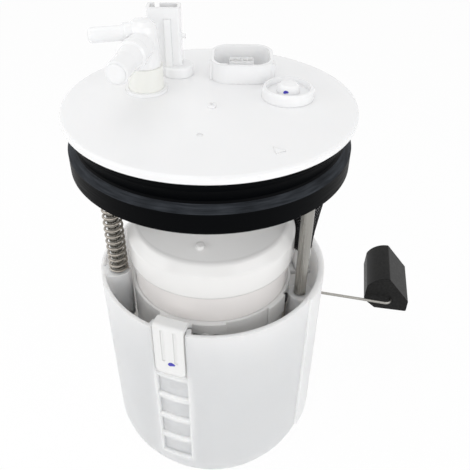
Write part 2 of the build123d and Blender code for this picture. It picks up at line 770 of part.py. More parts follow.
# Wiper: a spring finger from the holder to the card's tracks.
with BuildPart() as wiper:
    with BuildSketch(pivot_plane(front_distance + 0.05)) as finger:
        with Locations((0, holder_radius + 1)):
            Rectangle(2.4, 2 * (card_outer - holder_radius - 2))
    extrude(finger.sketch, amount=arm_gap - 0.05)
    with BuildSketch(pivot_plane(holder_distance)) as root:
        with Locations((0, holder_radius + 1.0)):
            Rectangle(2.4, 2.0)
    extrude(root.sketch, amount=0.6)
wiper.part.label = "wiper"
export_step(wiper.part, "parts/wiper.step")

# Float arm: a steel wire over the holder, bent at right angles into the float.
out = polar(1, sender_angle)
outward = Vector(out[0], out[1], 0)
toward_float = Vector(out[1], -out[0], 0)
along_arm = toward_float * math.cos(math.radians(arm_tilt)) + Vector(0, 0, math.sin(math.radians(arm_tilt)))
arm_pivot = pivot_plane(wire_distance).origin
arm_corner = arm_pivot + along_arm * arm_length
with BuildPart() as float_arm:
    with BuildLine() as wire:
        FilletPolyline(arm_pivot - along_arm * arm_tail, arm_corner,
                       arm_corner + outward * (float_face - wire_distance + arm_grip), radius=arm_bend)
    with BuildSketch(Plane(origin=wire.line @ 0, z_dir=wire.line % 0)) as section:
        Circle(arm_wire)
    sweep(section.sketch, path=wire.line)
float_arm.part.label = "float_arm"
export_step(float_arm.part, "parts/float_arm.step")

# Float: a block of closed-cell foam with a rounded back, pushed on the wire's end.
float_right = 12.0           # from the wire to the side away from the reservoir
float_left = 17.6
float_peak = 17.8
float_bottom = 8.8
face_plane = Plane(origin=arm_corner + outward * (float_face - wire_distance),
                   x_dir=toward_float * -1, z_dir=outward)
with BuildPart() as float_block:
    with BuildSketch(face_plane) as section:
        with BuildLine():
            Line((-float_right, 0.2), (3.0, float_peak))
            ThreePointArc((3.0, float_peak), (float_left * 0.71, float_peak * 0.84),
                          (float_left - 0.5, float_peak * 0.5))
            Line((float_left - 0.5, float_peak * 0.5), (float_left, -2.3))
            Line((float_left, -2.3), (float_left - 8, -float_bottom))
            Line((float_left - 8, -float_bottom), (-float_right, -float_bottom))
            Line((-float_right, -float_bottom), (-float_right, 0.2))
        make_face()
    extrude(section.sketch, amount=float_length)
    fillet(float_block.edges().filter_by(Axis((0, 0, 0), (outward.X, outward.Y, 0))), 1.2)
    with BuildSketch(face_plane) as hole:
        Circle(arm_wire)
    extrude(hole.sketch, amount=arm_grip, mode=Mode.SUBTRACT)
float_block.part.label = "float"
export_step(float_block.part, "parts/float.step")

# ================= flange body =================
rod_top = flange_under - rod_boss_depth + rod_grip
boss_foot = flange_under - rod_boss_depth

# socket for the electrical plug
socket_width = 30.5
socket_depth = 26.0
socket_height = 9.1
socket_rise = 1.4            # how much higher its back edge is
socket_wall = 1.5
socket_corner = 9.0
block_size = (17.0, 9.0)
block_place = (socket_place[0] + 2.0, socket_place[1] + 2.0)
block_top = module_height + 2.2
head_size = (12.2, 7.0)      # raised part of the block, with the blades in its wells
head_place = (block_place[0] - 2.2, block_place[1] + 1.0)
head_top = module_height + 6.2
block_foot = module_height - 11.0
stem_radius = 6.5
plug_radius_outer = 12.2
plug_seat_radius = 8.5

with BuildPart() as flange_cover:
    tube(flange_radius, 0, flange_under, module_height)
    fillet(flange_cover.edges().group_by(Axis.Z)[-1], flange_edge)
    fillet(flange_cover.edges().group_by(Axis.Z)[0], flange_edge / 2)
    tube(skirt_radius, skirt_radius - skirt_wall, skirt_foot, flange_under)
    for place in rod_places:
        tube(rod_boss_radius, 0, boss_foot, flange_under, place)
    # gussets between the disc and the skirt
    with BuildSketch(Plane.XY.offset(flange_under)) as gussets:
        with PolarLocations(skirt_radius - skirt_wall - rib_reach / 2 + 0.2, rib_count, start_angle=15):
            Rectangle(rib_reach + 0.4, rib_thickness)
    extrude(gussets.sketch, amount=-rib_depth)
    for place in rod_places:
        tube(rod_radius, 0, boss_foot, rod_top, place, mode=Mode.SUBTRACT)
    # plug socket: a rounded shell with a sloped rim
    with BuildSketch(Plane.XY.offset(module_height)) as shell:
        with Locations(socket_place):
            RectangleRounded(socket_width, socket_depth, socket_corner)
            RectangleRounded(socket_width - 2 * socket_wall, socket_depth - 2 * socket_wall,
                             socket_corner - socket_wall, mode=Mode.SUBTRACT)
    extrude(shell.sketch, amount=socket_height + socket_rise)
    rim_slope = math.degrees(math.atan(socket_rise / socket_depth))
    rim_front = Vector(socket_place[0], socket_place[1] - socket_depth / 2, module_height + socket_height)
    rim_up = Vector(0, -math.sin(math.radians(rim_slope)), math.cos(math.radians(rim_slope)))
    with BuildSketch(Plane(origin=rim_front, x_dir=(1, 0, 0), z_dir=rim_up)) as over:
        with Locations((0, socket_depth / 2)):
            Rectangle(socket_width + 4, socket_depth + 6)
    extrude(over.sketch, amount=4, mode=Mode.SUBTRACT)
    # key ribs at the socket's front corners, and the latch lug in front
    with BuildSketch(Plane.XY.offset(module_height)) as keys:
        with Locations((socket_place[0] - socket_width / 2, socket_place[1] - 5),
                       (socket_place[0] + socket_width / 2, socket_place[1] - 5)):
            Rectangle(1.6, 5)
    extrude(keys.sketch, amount=socket_height - 1)
    # polarising block inside the socket, and the window for the terminal block
    with BuildSketch(Plane.XY.offset(module_height)) as polariser:
        with Locations((socket_place[0] - 9.2, socket_place[1] + 1)):
            Rectangle(4.4, 6)
    extrude(polariser.sketch, amount=4.0)
    with BuildSketch(Plane.XY.offset(flange_under)) as window:
        with Locations(block_place):
            Rectangle(*block_size)
    extrude(window.sketch, amount=flange_thickness, mode=Mode.SUBTRACT)
    # collar round the outlet socket, and the holes for it, the vent and the round plug
    tube(10.0, 8.4, module_height, module_height + 1.6, outlet_place)
    for place, radius in ((outlet_place, stem_radius), (vent_place, 5.0), (plug_place, plug_seat_radius)):
        tube(radius, 0, flange_under, module_height, place, mode=Mode.SUBTRACT)
    # ejector nub in the middle and a small alignment arrow near the front edge
    tube(1.9, 0, module_height, module_height + 1.4, nub_place)
    tube(0.8, 0, module_height + 0.7, module_height + 1.4, nub_place, mode=Mode.SUBTRACT)
    tube(1.3, 0, module_height - 0.4, module_height, dimple_place, mode=Mode.SUBTRACT)
    with BuildSketch(Plane.XY.offset(module_height)) as arrow:
        with Locations(Location((28.5, -47.5, 0), (0, 0, 31))):
            Triangle(a=4.5, b=6.0, c=6.0)
    extrude(arrow.sketch, amount=0.5)
flange_cover.part.label = "flange_cover"
export_step(flange_cover.part, "parts/flange_cover.step")

# Tank seal: a rubber ring with a lip under the flange, a waist and a wide sealing band.
seal_foot = flange_under - seal_depth
band_top = seal_foot + seal_band
with BuildPart() as tank_seal:
    turned([(skirt_radius, seal_foot), (seal_radius - 1.2, seal_foot), (seal_radius, seal_foot + 1.2),
            (seal_radius, band_top), (seal_waist_radius + 0.5, band_top + seal_ledge),
            (seal_waist_radius, band_top + seal_ledge + 1.0),
            (seal_lip_radius - 1.6, flange_under - seal_lip - 2.6),
            (seal_lip_radius, flange_under - seal_lip), (seal_lip_radius, flange_under),
            (skirt_radius, flange_under)])
tank_seal.part.label = "tank_seal"
export_step(tank_seal.part, "parts/tank_seal.step")

# Outlet socket: a nylon cup seated in the flange, with the hose barb below.
cup_radius = 8.4
cup_top = module_height + 12.2
cup_wall = 0.8
body_radius = cup_radius - cup_wall
with BuildPart() as outlet_socket:
    tube(cup_radius, body_radius, module_height, cup_top, outlet_place)
    tube(cup_radius, 0, module_height, module_height + 3, outlet_place)
    tube(stem_radius, 0, flange_under, module_height, outlet_place)
    tube(barb_radius, 0, flange_under - 3 - barb_length, flange_under, outlet_place)
    tube(barb_bore, 0, flange_under - 3 - barb_length, module_height + 3, outlet_place,
         mode=Mode.SUBTRACT)
outlet_socket.part.label = "outlet_socket"
export_step(outlet_socket.part, "parts/outlet_socket.step")

# Outlet fitting: an upright body with the main spigot to the front and a small one to the side.
fitting_foot = module_height + 3
fitting_top = module_height + 33.0
main_height = module_height + 22.5
side_height = module_height + 27.5
main_angle = 260.0
side_angle = 196.0
main_length = 37.9
side_length = 24.0
main_radius = 5.05
main_straight = 12.0         # straight end of the spigot, which takes the fuel line
main_root = 6.2
main_collar = 6.8
main_shoulder = 5.7          # just outside the collar
main_bore = 3.2
side_radius = 3.35
side_straight = 14.0
side_root = 4.3
side_bore = 1.8
stopper_set = 1.2            # transport stopper inside the spigot's end
stopper_length = 6.0
main_way = Vector(*polar(1, main_angle))
side_way = Vector(*polar(1, side_angle))
main_origin = Vector(outlet_place[0], outlet_place[1], main_height)
side_origin = Vector(outlet_place[0], outlet_place[1], side_height)
with BuildPart() as outlet_fitting:
    turned([(0, fitting_foot), (body_radius, fitting_foot), (body_radius, cup_top),
            (body_radius - 0.8, fitting_top - 5), (body_radius - 1.6, fitting_top - 2.4),
            (body_radius - 3.6, fitting_top - 0.6), (0, fitting_top)], outlet_place)
    spun([(0, 0), (0, main_root), (13, main_root), (14, main_collar), (18, main_collar),
          (19, main_shoulder), (main_length - main_straight, main_radius),
          (main_length - 0.8, main_radius), (main_length - 0.25, main_radius - 0.25),
          (main_length, main_radius - 0.8), (main_length, 0)], main_origin, main_way)
    spun([(0, 0), (0, side_root), (8.0, side_root), (8.6, side_radius + 0.2),
          (side_length - side_straight, side_radius), (side_length - 1.4, side_radius),
          (side_length - 0.5, side_radius - 0.4), (side_length, side_radius - 1.0),
          (side_length, 0)], side_origin, side_way)
    spun([(0, 0), (0, main_bore), (main_length, main_bore), (main_length, 0)], main_origin, main_way,
         mode=Mode.SUBTRACT)
    spun([(0, 0), (0, side_bore), (side_length, side_bore), (side_length, 0)], side_origin, side_way,
         mode=Mode.SUBTRACT)
    tube(3.4, 0, fitting_foot, main_height, outlet_place, mode=Mode.SUBTRACT)
outlet_fitting.part.label = "outlet_fitting"
export_step(outlet_fitting.part, "parts/outlet_fitting.step")

# Transport stopper pressed in the main spigot's bore.
with BuildPart() as outlet_stopper:
    stopper_end = main_length - stopper_set
    spun([(stopper_end - stopper_length, 0), (stopper_end - stopper_length, main_bore - 0.4),
          (stopper_end - stopper_length + 0.8, main_bore), (stopper_end - 0.3, main_bore),
          (stopper_end, main_bore - 0.3), (stopper_end, 0)], main_origin, main_way)
outlet_stopper.part.label = "outlet_stopper"
export_step(outlet_stopper.part, "parts/outlet_stopper.step")

# Vent tower: a puck on the flange that carries an upright box-shaped channel.
tower_width = 16.3
tower_depth = 9.0
tower_height = 32.7
puck_radius = 7.5
puck_height = 5.0
with BuildPart() as vent_tower:
    tube(puck_radius, 0, module_height, module_height + puck_height, vent_place)
    fillet(vent_tower.edges().group_by(Axis.Z)[-1], 1.0)
    with BuildSketch(Plane.XY.offset(module_height)) as column:
        with Locations(tower_place):
            RectangleRounded(tower_width, tower_depth, 1.5)
    extrude(column.sketch, amount=tower_height)
    # open channel down the middle, a slot in its back edge and a rib down the front
    with BuildSketch(Plane.XY.offset(module_height + 8)) as channel:
        with Locations(tower_place):
            RectangleRounded(tower_width - 3.2, tower_depth - 3.2, 0.8)
    extrude(channel.sketch, amount=tower_height, mode=Mode.SUBTRACT)
    with BuildSketch(Plane.XY.offset(module_height + tower_height - 3.5)) as notch:
        with Locations((tower_place[0] - 3.4, tower_place[1] + tower_depth / 2)):
            Rectangle(2.6, 4.0)
    extrude(notch.sketch, amount=8, mode=Mode.SUBTRACT)
    with BuildSketch(Plane.XY.offset(module_height)) as front_rib:
        with Locations((tower_place[0] + 1.8, tower_place[1] - tower_depth / 2 - 0.5)):
            Rectangle(3.4, 1.4)
    extrude(front_rib.sketch, amount=tower_height - 5)
    # small peg on the right side
    with BuildSketch(Plane(origin=(tower_place[0] + tower_width / 2 - 0.5, tower_place[1] - 2,
                                   module_height + 19), x_dir=(0, 1, 0), z_dir=(1, 0, 0))) as peg:
        Circle(1.1)
    extrude(peg.sketch, amount=2.4)
    # stem through the flange
    tube(5.0, 0, flange_under, module_height, vent_place)
vent_tower.part.label = "vent_tower"
export_step(vent_tower.part, "parts/vent_tower.step")

# Vent valve: the can under the flange that the tower vents.
with BuildPart() as vent_valve:
    tube(9.0, 0, flange_under - 16, flange_under, vent_place)
    fillet(vent_valve.edges().group_by(Axis.Z)[0], 1.2)
    with BuildSketch(Plane.XY.offset(flange_under - 16)) as inlets:
        with Locations(vent_place):
            with PolarLocations(5.5, 4):
                Circle(1.5)
    extrude(inlets.sketch, amount=5, mode=Mode.SUBTRACT)
vent_valve.part.label = "vent_valve"
export_step(vent_valve.part, "parts/vent_valve.step")

# Terminal block and its four blades, each in a well of the raised head.
blade_pitch = 2.9
blade_width = 1.6
blade_top = module_height + 4.6
blade_foot = block_foot + 2.0
well_size = (2.2, 3.0)
with BuildPart() as terminals:
    with BuildSketch(Plane.XY.offset(blade_foot)):
        with Locations(head_place):
            with GridLocations(blade_pitch, 0, 4, 1):
                Rectangle(blade_width, 0.8)
    extrude(amount=blade_top - blade_foot)
terminals.part.label = "terminals"
export_step(terminals.part, "parts/terminals.step")

with BuildPart() as terminal_block:
    with BuildSketch(Plane.XY.offset(block_foot)):
        with Locations(block_place):
            Rectangle(*block_size)
    extrude(amount=block_top - block_foot)
    with BuildSketch(Plane.XY.offset(block_foot)):
        with Locations(block_place):
            Circle(5.5)
    extrude(amount=-1.0)
    with BuildSketch(Plane.XY.offset(block_top)):
        with Locations(head_place):
            RectangleRounded(*head_size, 0.6)
    extrude(amount=head_top - block_top)
    with BuildSketch(Plane.XY.offset(blade_foot)) as pockets:
        with Locations(head_place):
            with GridLocations(blade_pitch, 0, 4, 1):
                Rectangle(blade_width, 0.8)
    extrude(pockets.sketch, amount=block_top - blade_foot, mode=Mode.SUBTRACT)
    with BuildSketch(Plane.XY.offset(block_top)) as wells:
        with Locations(head_place):
            with GridLocations(blade_pitch, 0, 4, 1):
                Rectangle(*well_size)
    extrude(wells.sketch, amount=head_top - block_top, mode=Mode.SUBTRACT)
terminal_block.part.label = "terminal_block"
export_step(terminal_block.part, "parts/terminal_block.step")

# Round plug over the regulator: a shallow dish with a boss in its middle.
plug_height = 5.2
plug_rim = 1.8
with BuildPart() as round_plug:
    turned([(0, module_height), (plug_radius_outer, module_height),
            (plug_radius_outer, module_height + plug_height - 1.2),
            (plug_radius_outer - 0.8, module_height + plug_height),
            (plug_radius_outer - plug_rim, module_height + plug_height),
            (plug_radius_outer - plug_rim - 0.6, module_height + 2.6),
            (5.4, module_height + 2.6), (4.9, module_height + plug_height + 0.4),
            (3.8, module_height + plug_height + 1.3), (0, module_height + plug_height + 1.6)],
           plug_place)
    tube(plug_seat_radius, 0, flange_under, module_height, plug_place)
round_plug.part.label = "round_plug"
export_step(round_plug.part, "parts/round_plug.step")

# Pressure regulator under the plug: a can, a valve pressed on its seat, and the valve's spring.
regulator_radius = 9.5
regulator_height = 17.0
regulator_wall = 1.2
regulator_foot = flange_under - regulator_height
regulator_bore = 2.2
seat_gap = 0.02
regulator_disc = 1.6
with BuildPart() as regulator_can:
    tube(regulator_radius, 0, regulator_foot, flange_under, plug_place)
    tube(regulator_radius - regulator_wall, 0, regulator_foot + regulator_wall,
         flange_under - regulator_wall, plug_place, mode=Mode.SUBTRACT)
    tube(regulator_bore, 0, regulator_foot, regulator_foot + regulator_wall, plug_place,
         mode=Mode.SUBTRACT)
regulator_can.part.label = "regulator_can"
export_step(regulator_can.part, "parts/regulator_can.step")

disc_foot = regulator_foot + regulator_wall + seat_gap
with BuildPart() as regulator_valve:
    tube(4.2, 0, disc_foot, disc_foot + regulator_disc, plug_place)
    tube(1.4, 0, disc_foot - 1.6, disc_foot, plug_place)
regulator_valve.part.label = "regulator_valve"
export_step(regulator_valve.part, "parts/regulator_valve.step")

regulator_spring = coil(3.2, 0.4, 2.6, disc_foot + regulator_disc, flange_under - regulator_wall,
                        plug_place)
regulator_spring.label = "regulator_spring"
export_step(regulator_spring, "parts/regulator_spring.step")

# Guide rods, pressed into the flange, and the clips that stop them under their guides.
guide_feet = (rim_height - left_guide_length, rim_height - right_guide_drop - right_guide_length)
rod_names = ("guide_rod_left", "guide_rod_right")
for name, place, guide_foot in zip(rod_names, rod_places, guide_feet):
    clip_top = guide_foot - clip_gap
    with BuildPart() as guide_rod:
        tube(rod_radius, 0, clip_top - clip_thickness - rod_tail, rod_top, place)
        chamfer(guide_rod.edges().group_by(Axis.Z)[0], 0.5)
        tube(rod_radius + 1, rod_radius - groove_depth, clip_top - clip_thickness, clip_top, place,
             mode=Mode.SUBTRACT)
    guide_rod.part.label = name
    export_step(guide_rod.part, "parts/" + name + ".step")

with BuildPart() as rod_clips:
    for place, guide_foot in zip(rod_places, guide_feet):
        clip_top = guide_foot - clip_gap
        tube(clip_radius, rod_radius - groove_depth, clip_top - clip_thickness, clip_top, place)
rod_clips.part.label = "rod_clips"
export_step(rod_clips.part, "parts/rod_clips.step")

# Return spring on the left rod, between the reservoir's guide and the flange's boss.
return_spring = coil(spring_radius, spring_wire, spring_pitch, rim_height, boss_foot, left_rod)
return_spring.label = "return_spring"
export_step(return_spring, "parts/return_spring.step")

def bend_radii(points, radii):
    """Radii for the bends of a route, cut down where its straight runs are short."""
    fitted = []
    for before, corner, after, radius in zip(points, points[1:], points[2:], radii):
        back = Vector(*corner) - Vector(*before)
        ahead = Vector(*after) - Vector(*corner)
        half_turn = math.radians(back.get_angle(ahead)) / 2
        fitted.append(min(radius, 0.49 * min(back.length, ahead.length) / math.tan(half_turn)))
    return fitted


# Fuel hose from the cap's elbow to the barb under the outlet socket, with a clamp at each end.
hose_radius = 5.0
hose_bend = 16.0
clamp_width = 4.0
clamp_thickness = 0.8
hose_start = Vector(elbow_place[0], elbow_place[1], elbow_height) + to_outlet * (elbow_radius + 0.5)
hose_route = [tuple(hose_start), (*outlet_place, elbow_height), (*outlet_place, flange_under - 2)]
with BuildPart() as fuel_hose:
    with BuildLine() as route:
        FilletPolyline(*hose_route, radius=bend_radii(hose_route, [hose_bend])[0])
    with BuildSketch(Plane(origin=route.line @ 0, z_dir=route.line % 0)) as section:
        Circle(hose_radius)
        Circle(barb_radius, mode=Mode.SUBTRACT)
    sweep(section.sketch, path=route.line)
fuel_hose.part.label = "fuel_hose"
export_step(fuel_hose.part, "parts/fuel_hose.step")

with BuildPart() as upper_clamp:
    tube(hose_radius + clamp_thickness, hose_radius, flange_under - 9 - clamp_width,
         flange_under - 9, outlet_place)
upper_clamp.part.label = "upper_clamp"
export_step(upper_clamp.part, "parts/upper_clamp.step")

with BuildPart() as lower_clamp:
    spun([(5, hose_radius), (5, hose_radius + clamp_thickness), (5 + clamp_width, hose_radius + clamp_thickness),
          (5 + clamp_width, hose_radius)], hose_start, to_outlet)
lower_clamp.part.label = "lower_clamp"
export_step(lower_clamp.part, "parts/lower_clamp.step")

# Harness: a braided sleeve from the terminal block, bowed out over the rim, to the plug on the shelf.
sleeve_radius = 5.5
plug_height_low = 14.0
sleeve_foot = shelf_top + plug_height_low
sleeve_top = block_foot - 1.0
plug_spot = polar(plug_radius, plug_angle)
bow_places = (polar(49.4, 31.8), polar(55.9, 10.3))
bow_heights = (0.80, 0.72, 0.47, 0.23)   # of the way from the plug to the block
bow_radii = (10.0, 12.0, 16.0, 40.0)
stations = [sleeve_foot + part * (sleeve_top - sleeve_foot) for part in bow_heights]
sleeve_route = [(*block_place, sleeve_top), (*block_place, stations[0]),
                (*bow_places[0], stations[1]), (*bow_places[1], stations[2]),
                (*plug_spot, stations[3]), (*plug_spot, sleeve_foot)]
with BuildPart() as harness_sleeve:
    with BuildLine() as route:
        FilletPolyline(*sleeve_route, radius=bend_radii(sleeve_route, bow_radii))
    with BuildSketch(Plane(origin=route.line @ 0, z_dir=route.line % 0)) as section:
        Circle(sleeve_radius)
    sweep(section.sketch, path=route.line)
harness_sleeve.part.label = "harness_sleeve"
export_step(harness_sleeve.part, "parts/harness_sleeve.step")

with BuildPart() as harness_plug:
    with BuildSketch(facing(plug_angle, plug_radius - 4.2, height=shelf_top)) as body:
        Rectangle(10, plug_height_low, align=(Align.CENTER, Align.MIN))
    extrude(body.sketch, amount=8.4)
    fillet(harness_plug.edges().filter_by(Axis.Z), 1.0)
harness_plug.part.label = "harness_plug"
export_step(harness_plug.part, "parts/harness_plug.step")
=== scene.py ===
import math

import bmesh
import bpy
from mathutils import Matrix, Vector


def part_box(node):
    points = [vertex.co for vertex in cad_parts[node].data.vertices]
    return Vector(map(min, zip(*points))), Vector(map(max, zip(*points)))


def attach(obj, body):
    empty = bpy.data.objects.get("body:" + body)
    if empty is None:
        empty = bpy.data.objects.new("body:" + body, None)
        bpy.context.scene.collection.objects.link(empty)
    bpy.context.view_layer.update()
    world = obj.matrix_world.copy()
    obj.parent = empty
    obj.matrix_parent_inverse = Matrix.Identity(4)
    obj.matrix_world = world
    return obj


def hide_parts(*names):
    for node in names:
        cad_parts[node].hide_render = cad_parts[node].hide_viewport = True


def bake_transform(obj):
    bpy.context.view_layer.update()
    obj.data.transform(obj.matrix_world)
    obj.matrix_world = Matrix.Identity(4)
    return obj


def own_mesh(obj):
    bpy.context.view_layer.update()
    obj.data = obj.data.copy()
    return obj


# In-tank fuel pump module: a white moulded reservoir that stands on the tank's floor,
# and a round flange above it that slides on two steel rods against a spring.

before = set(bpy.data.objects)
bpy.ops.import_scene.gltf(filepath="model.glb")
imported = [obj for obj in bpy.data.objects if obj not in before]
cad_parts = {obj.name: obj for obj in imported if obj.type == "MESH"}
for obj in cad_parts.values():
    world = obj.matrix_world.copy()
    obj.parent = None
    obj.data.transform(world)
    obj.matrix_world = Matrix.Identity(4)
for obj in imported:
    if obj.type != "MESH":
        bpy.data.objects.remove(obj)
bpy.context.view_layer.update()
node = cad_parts
scene = bpy.context.scene


# ---- camera and lamps ----
# Studio set: four large soft boxes, above and round the front, in a bright pale room, so that
# the white mouldings keep their shades and the light reaches inside the reservoir.
def clear():
    """Nothing stays selected, so that the next operator touches only its own piece."""
    bpy.ops.object.select_all(action="DESELECT")


clear()
camera_data = bpy.data.cameras.new("camera")
camera_data.lens = 45.087
camera_data.sensor_width = 36.0
camera_data.shift_x = 0.01536
camera_data.shift_y = 0.01323
camera_data.clip_start = 0.01
camera_place = (0.00880, -0.25439, 0.33280)
looks_down, camera_roll = math.radians(37.764), math.radians(0.4356)
camera = bpy.data.objects.new("camera", camera_data)
scene.collection.objects.link(camera)
camera.matrix_world = (Matrix.Translation(camera_place)
                       @ Matrix.Rotation(math.pi / 2 - looks_down, 4, "X")
                       @ Matrix.Rotation(camera_roll, 4, "Z"))
scene.camera = camera
scene.view_settings.view_transform = "Standard"


def soft_box(name, place, target, width, height, power):
    """Rectangular lamp at a place, turned to its target."""
    lamp = bpy.data.lights.new(name, "AREA")
    lamp.shape = "RECTANGLE"
    lamp.size, lamp.size_y = width, height
    lamp.energy = power
    holder = bpy.data.objects.new(name, lamp)
    holder.location = place
    holder.rotation_euler = (Vector(target) - Vector(place)).to_track_quat("-Z", "Y").to_euler()
    scene.collection.objects.link(holder)


soft_box("key_box", (0.55, -0.45, 0.40), (0, 0, 0.14), 0.6, 0.4, 1.3)
soft_box("top_box", (-0.10, 0.15, 0.85), (0, 0, 0.20), 0.6, 0.6, 0.9)
soft_box("front_box", (-0.15, -0.70, 0.38), (0, 0, 0.14), 0.7, 0.3, 0.8)
soft_box("side_box", (-0.62, -0.10, 0.40), (0, 0, 0.12), 0.6, 0.3, 1.0)

# ---- room and floor ----
# The room is plain white where it is seen or mirrored, and darker as a light. The floor is a
# matt white sheet that shows a soft shadow under the module.
room_light, room_white = 0.66, 1.0
world = bpy.data.worlds.new("studio")
scene.world = world
world.use_nodes = True
sky = world.node_tree
sky.nodes.clear()


def seen_ray(tree, *kinds):
    """1 for the kinds of rays that see the backdrop, and 0 for the light that falls on things."""
    ray = tree.nodes.new("ShaderNodeLightPath")
    value = ray.outputs[kinds[0]]
    for kind in kinds[1:]:
        either = tree.nodes.new("ShaderNodeMath")
        either.operation = "MAXIMUM"
        tree.links.new(value, either.inputs[0])
        tree.links.new(ray.outputs[kind], either.inputs[1])
        value = either.outputs[0]
    return value


def background(strength):
    """White backdrop of one strength."""
    glow = sky.nodes.new("ShaderNodeBackground")
    glow.inputs["Color"].default_value = (1, 1, 1, 1)
    glow.inputs["Strength"].default_value = strength
    return glow


sky_pick = sky.nodes.new("ShaderNodeMixShader")
sky_out = sky.nodes.new("ShaderNodeOutputWorld")
sky.links.new(seen_ray(sky, "Is Camera Ray", "Is Glossy Ray", "Is Transmission Ray"),
              sky_pick.inputs["Fac"])
sky.links.new(background(room_light).outputs[0], sky_pick.inputs[1])
sky.links.new(background(room_white).outputs[0], sky_pick.inputs[2])
sky.links.new(sky_pick.outputs[0], sky_out.inputs["Surface"])

floor_size, floor_height, shadow_fade = 6.0, -0.0004, 0.94
bpy.ops.mesh.primitive_plane_add(size=floor_size, location=(0, 0, floor_height))
floor = bpy.context.object
floor.name = "floor"
floor_paint = bpy.data.materials.new("floor_paint")
floor_paint.use_nodes = True
ground = floor_paint.node_tree
sheet_shader = ground.nodes["Principled BSDF"]
sheet_shader.inputs["Base Color"].default_value = (0.97, 0.97, 0.97, 1)
sheet_shader.inputs["Roughness"].default_value = 0.9
sheet_shader.inputs["Specular IOR Level"].default_value = 0.0
white_glow = ground.nodes.new("ShaderNodeEmission")
white_glow.inputs["Color"].default_value = (1, 1, 1, 1)
white_glow.inputs["Strength"].default_value = room_white
faint_shadow = ground.nodes.new("ShaderNodeMixShader")
faint_shadow.inputs["Fac"].default_value = shadow_fade
floor_pick = ground.nodes.new("ShaderNodeMixShader")
ground.links.new(sheet_shader.outputs["BSDF"], faint_shadow.inputs[1])
ground.links.new(white_glow.outputs[0], faint_shadow.inputs[2])
ground.links.new(seen_ray(ground, "Is Camera Ray", "Is Glossy Ray", "Is Transmission Ray"),
                 floor_pick.inputs["Fac"])
ground.links.new(sheet_shader.outputs["BSDF"], floor_pick.inputs[1])
ground.links.new(faint_shadow.outputs[0], floor_pick.inputs[2])
ground.links.new(floor_pick.outputs[0], ground.nodes["Material Output"].inputs["Surface"])
floor.data.materials.append(floor_paint)
clear()


# ---- reservoir and its base cover ----
# A deep cup moulded in white acetal, with the rod guides, the latch ladder and the sender's
# flat in one piece. A flat cover is welded under it. Light passes its thin walls.
def finish_of(name, colour, roughness, metal=0.0):
    """New procedural finish: the material, its nodes and its shader."""
    material = bpy.data.materials.new(name)
    material.use_nodes = True
    tree = material.node_tree
    shader = tree.nodes["Principled BSDF"]
    shader.inputs["Base Color"].default_value = (*colour, 1)
    shader.inputs["Roughness"].default_value = roughness
    shader.inputs["Metallic"].default_value = metal
    return material, tree, shader


def grain(tree, scale, detail=3.0, stretch=(1, 1, 1)):
    """Noise on the piece's own coordinates, in metres."""
    place = tree.nodes.new("ShaderNodeTexCoord")
    turn = tree.nodes.new("ShaderNodeMapping")
    turn.inputs["Scale"].default_value = stretch
    noise = tree.nodes.new("ShaderNodeTexNoise")
    noise.inputs["Scale"].default_value = scale
    noise.inputs["Detail"].default_value = detail
    tree.links.new(place.outputs["Object"], turn.inputs["Vector"])
    tree.links.new(turn.outputs["Vector"], noise.inputs["Vector"])
    return noise.outputs["Fac"]


def vary(tree, source, socket, low, high, from_low=0.3, from_high=0.7):
    """Leads a 0-1 value to a socket of the shader, between two values or two colours."""
    spread = tree.nodes.new("ShaderNodeMapRange")
    spread.inputs["From Min"].default_value = from_low
    spread.inputs["From Max"].default_value = from_high
    tree.links.new(source, spread.inputs["Value"])
    if isinstance(low, tuple):
        mixed = tree.nodes.new("ShaderNodeMix")
        mixed.data_type = "RGBA"
        mixed.inputs["A"].default_value = (*low, 1)
        mixed.inputs["B"].default_value = (*high, 1)
        tree.links.new(spread.outputs["Result"], mixed.inputs["Factor"])
        tree.links.new(mixed.outputs["Result"], socket)
    else:
        spread.inputs["To Min"].default_value = low
        spread.inputs["To Max"].default_value = high
        tree.links.new(spread.outputs["Result"], socket)


def rough_up(tree, shader, source, strength, distance):
    """Bump from a height value; a second call adds to the first."""
    bump = tree.nodes.new("ShaderNodeBump")
    bump.inputs["Strength"].default_value = strength
    bump.inputs["Distance"].default_value = distance
    tree.links.new(source, bump.inputs["Height"])
    if shader.inputs["Normal"].is_linked:
        tree.links.new(shader.inputs["Normal"].links[0].from_socket, bump.inputs["Normal"])
    tree.links.new(bump.outputs["Normal"], shader.inputs["Normal"])


def soften(tree, shader, radius):
    """Rounds the look of sharp moulded edges."""
    edge = tree.nodes.new("ShaderNodeBevel")
    edge.samples = 4
    edge.inputs["Radius"].default_value = radius
    tree.links.new(edge.outputs["Normal"], shader.inputs["Normal"])


def moulded(name, colour, roughness, milky=0.0, depth=0.004, bumps=0.15, shade=0.03, edge=0.0006):
    """Injection-moulded plastic: soft edges, fine mould texture, slow waves, faint cloudiness."""
    material, tree, shader = finish_of(name, colour, roughness)
    shader.inputs["IOR"].default_value = 1.48
    if milky:
        shader.inputs["Subsurface Weight"].default_value = milky
        shader.inputs["Subsurface Radius"].default_value = (1.0, 0.96, 0.92)
        shader.inputs["Subsurface Scale"].default_value = depth
    if edge:
        soften(tree, shader, edge)
    cloud = grain(tree, 24, 2.0)
    darker = tuple(c * (1 - shade) for c in colour)
    vary(tree, cloud, shader.inputs["Base Color"], darker, colour)
    vary(tree, grain(tree, 60, 4.0), shader.inputs["Roughness"], roughness * 0.85,
         min(roughness * 1.15, 1))
    rough_up(tree, shader, cloud, 0.10, 0.0010)
    rough_up(tree, shader, grain(tree, 2600, 2.0), bumps, 0.00006)
    return material


def dress(material, *names):
    """Puts a finish on CAD nodes."""
    for name in names:
        piece = node[name]
        piece.data.materials.clear()
        piece.data.materials.append(material)


white_acetal = moulded("white_acetal", (0.95, 0.95, 0.943), 0.42, milky=1.0, depth=0.009)
dress(white_acetal, "reservoir", "base_cover")


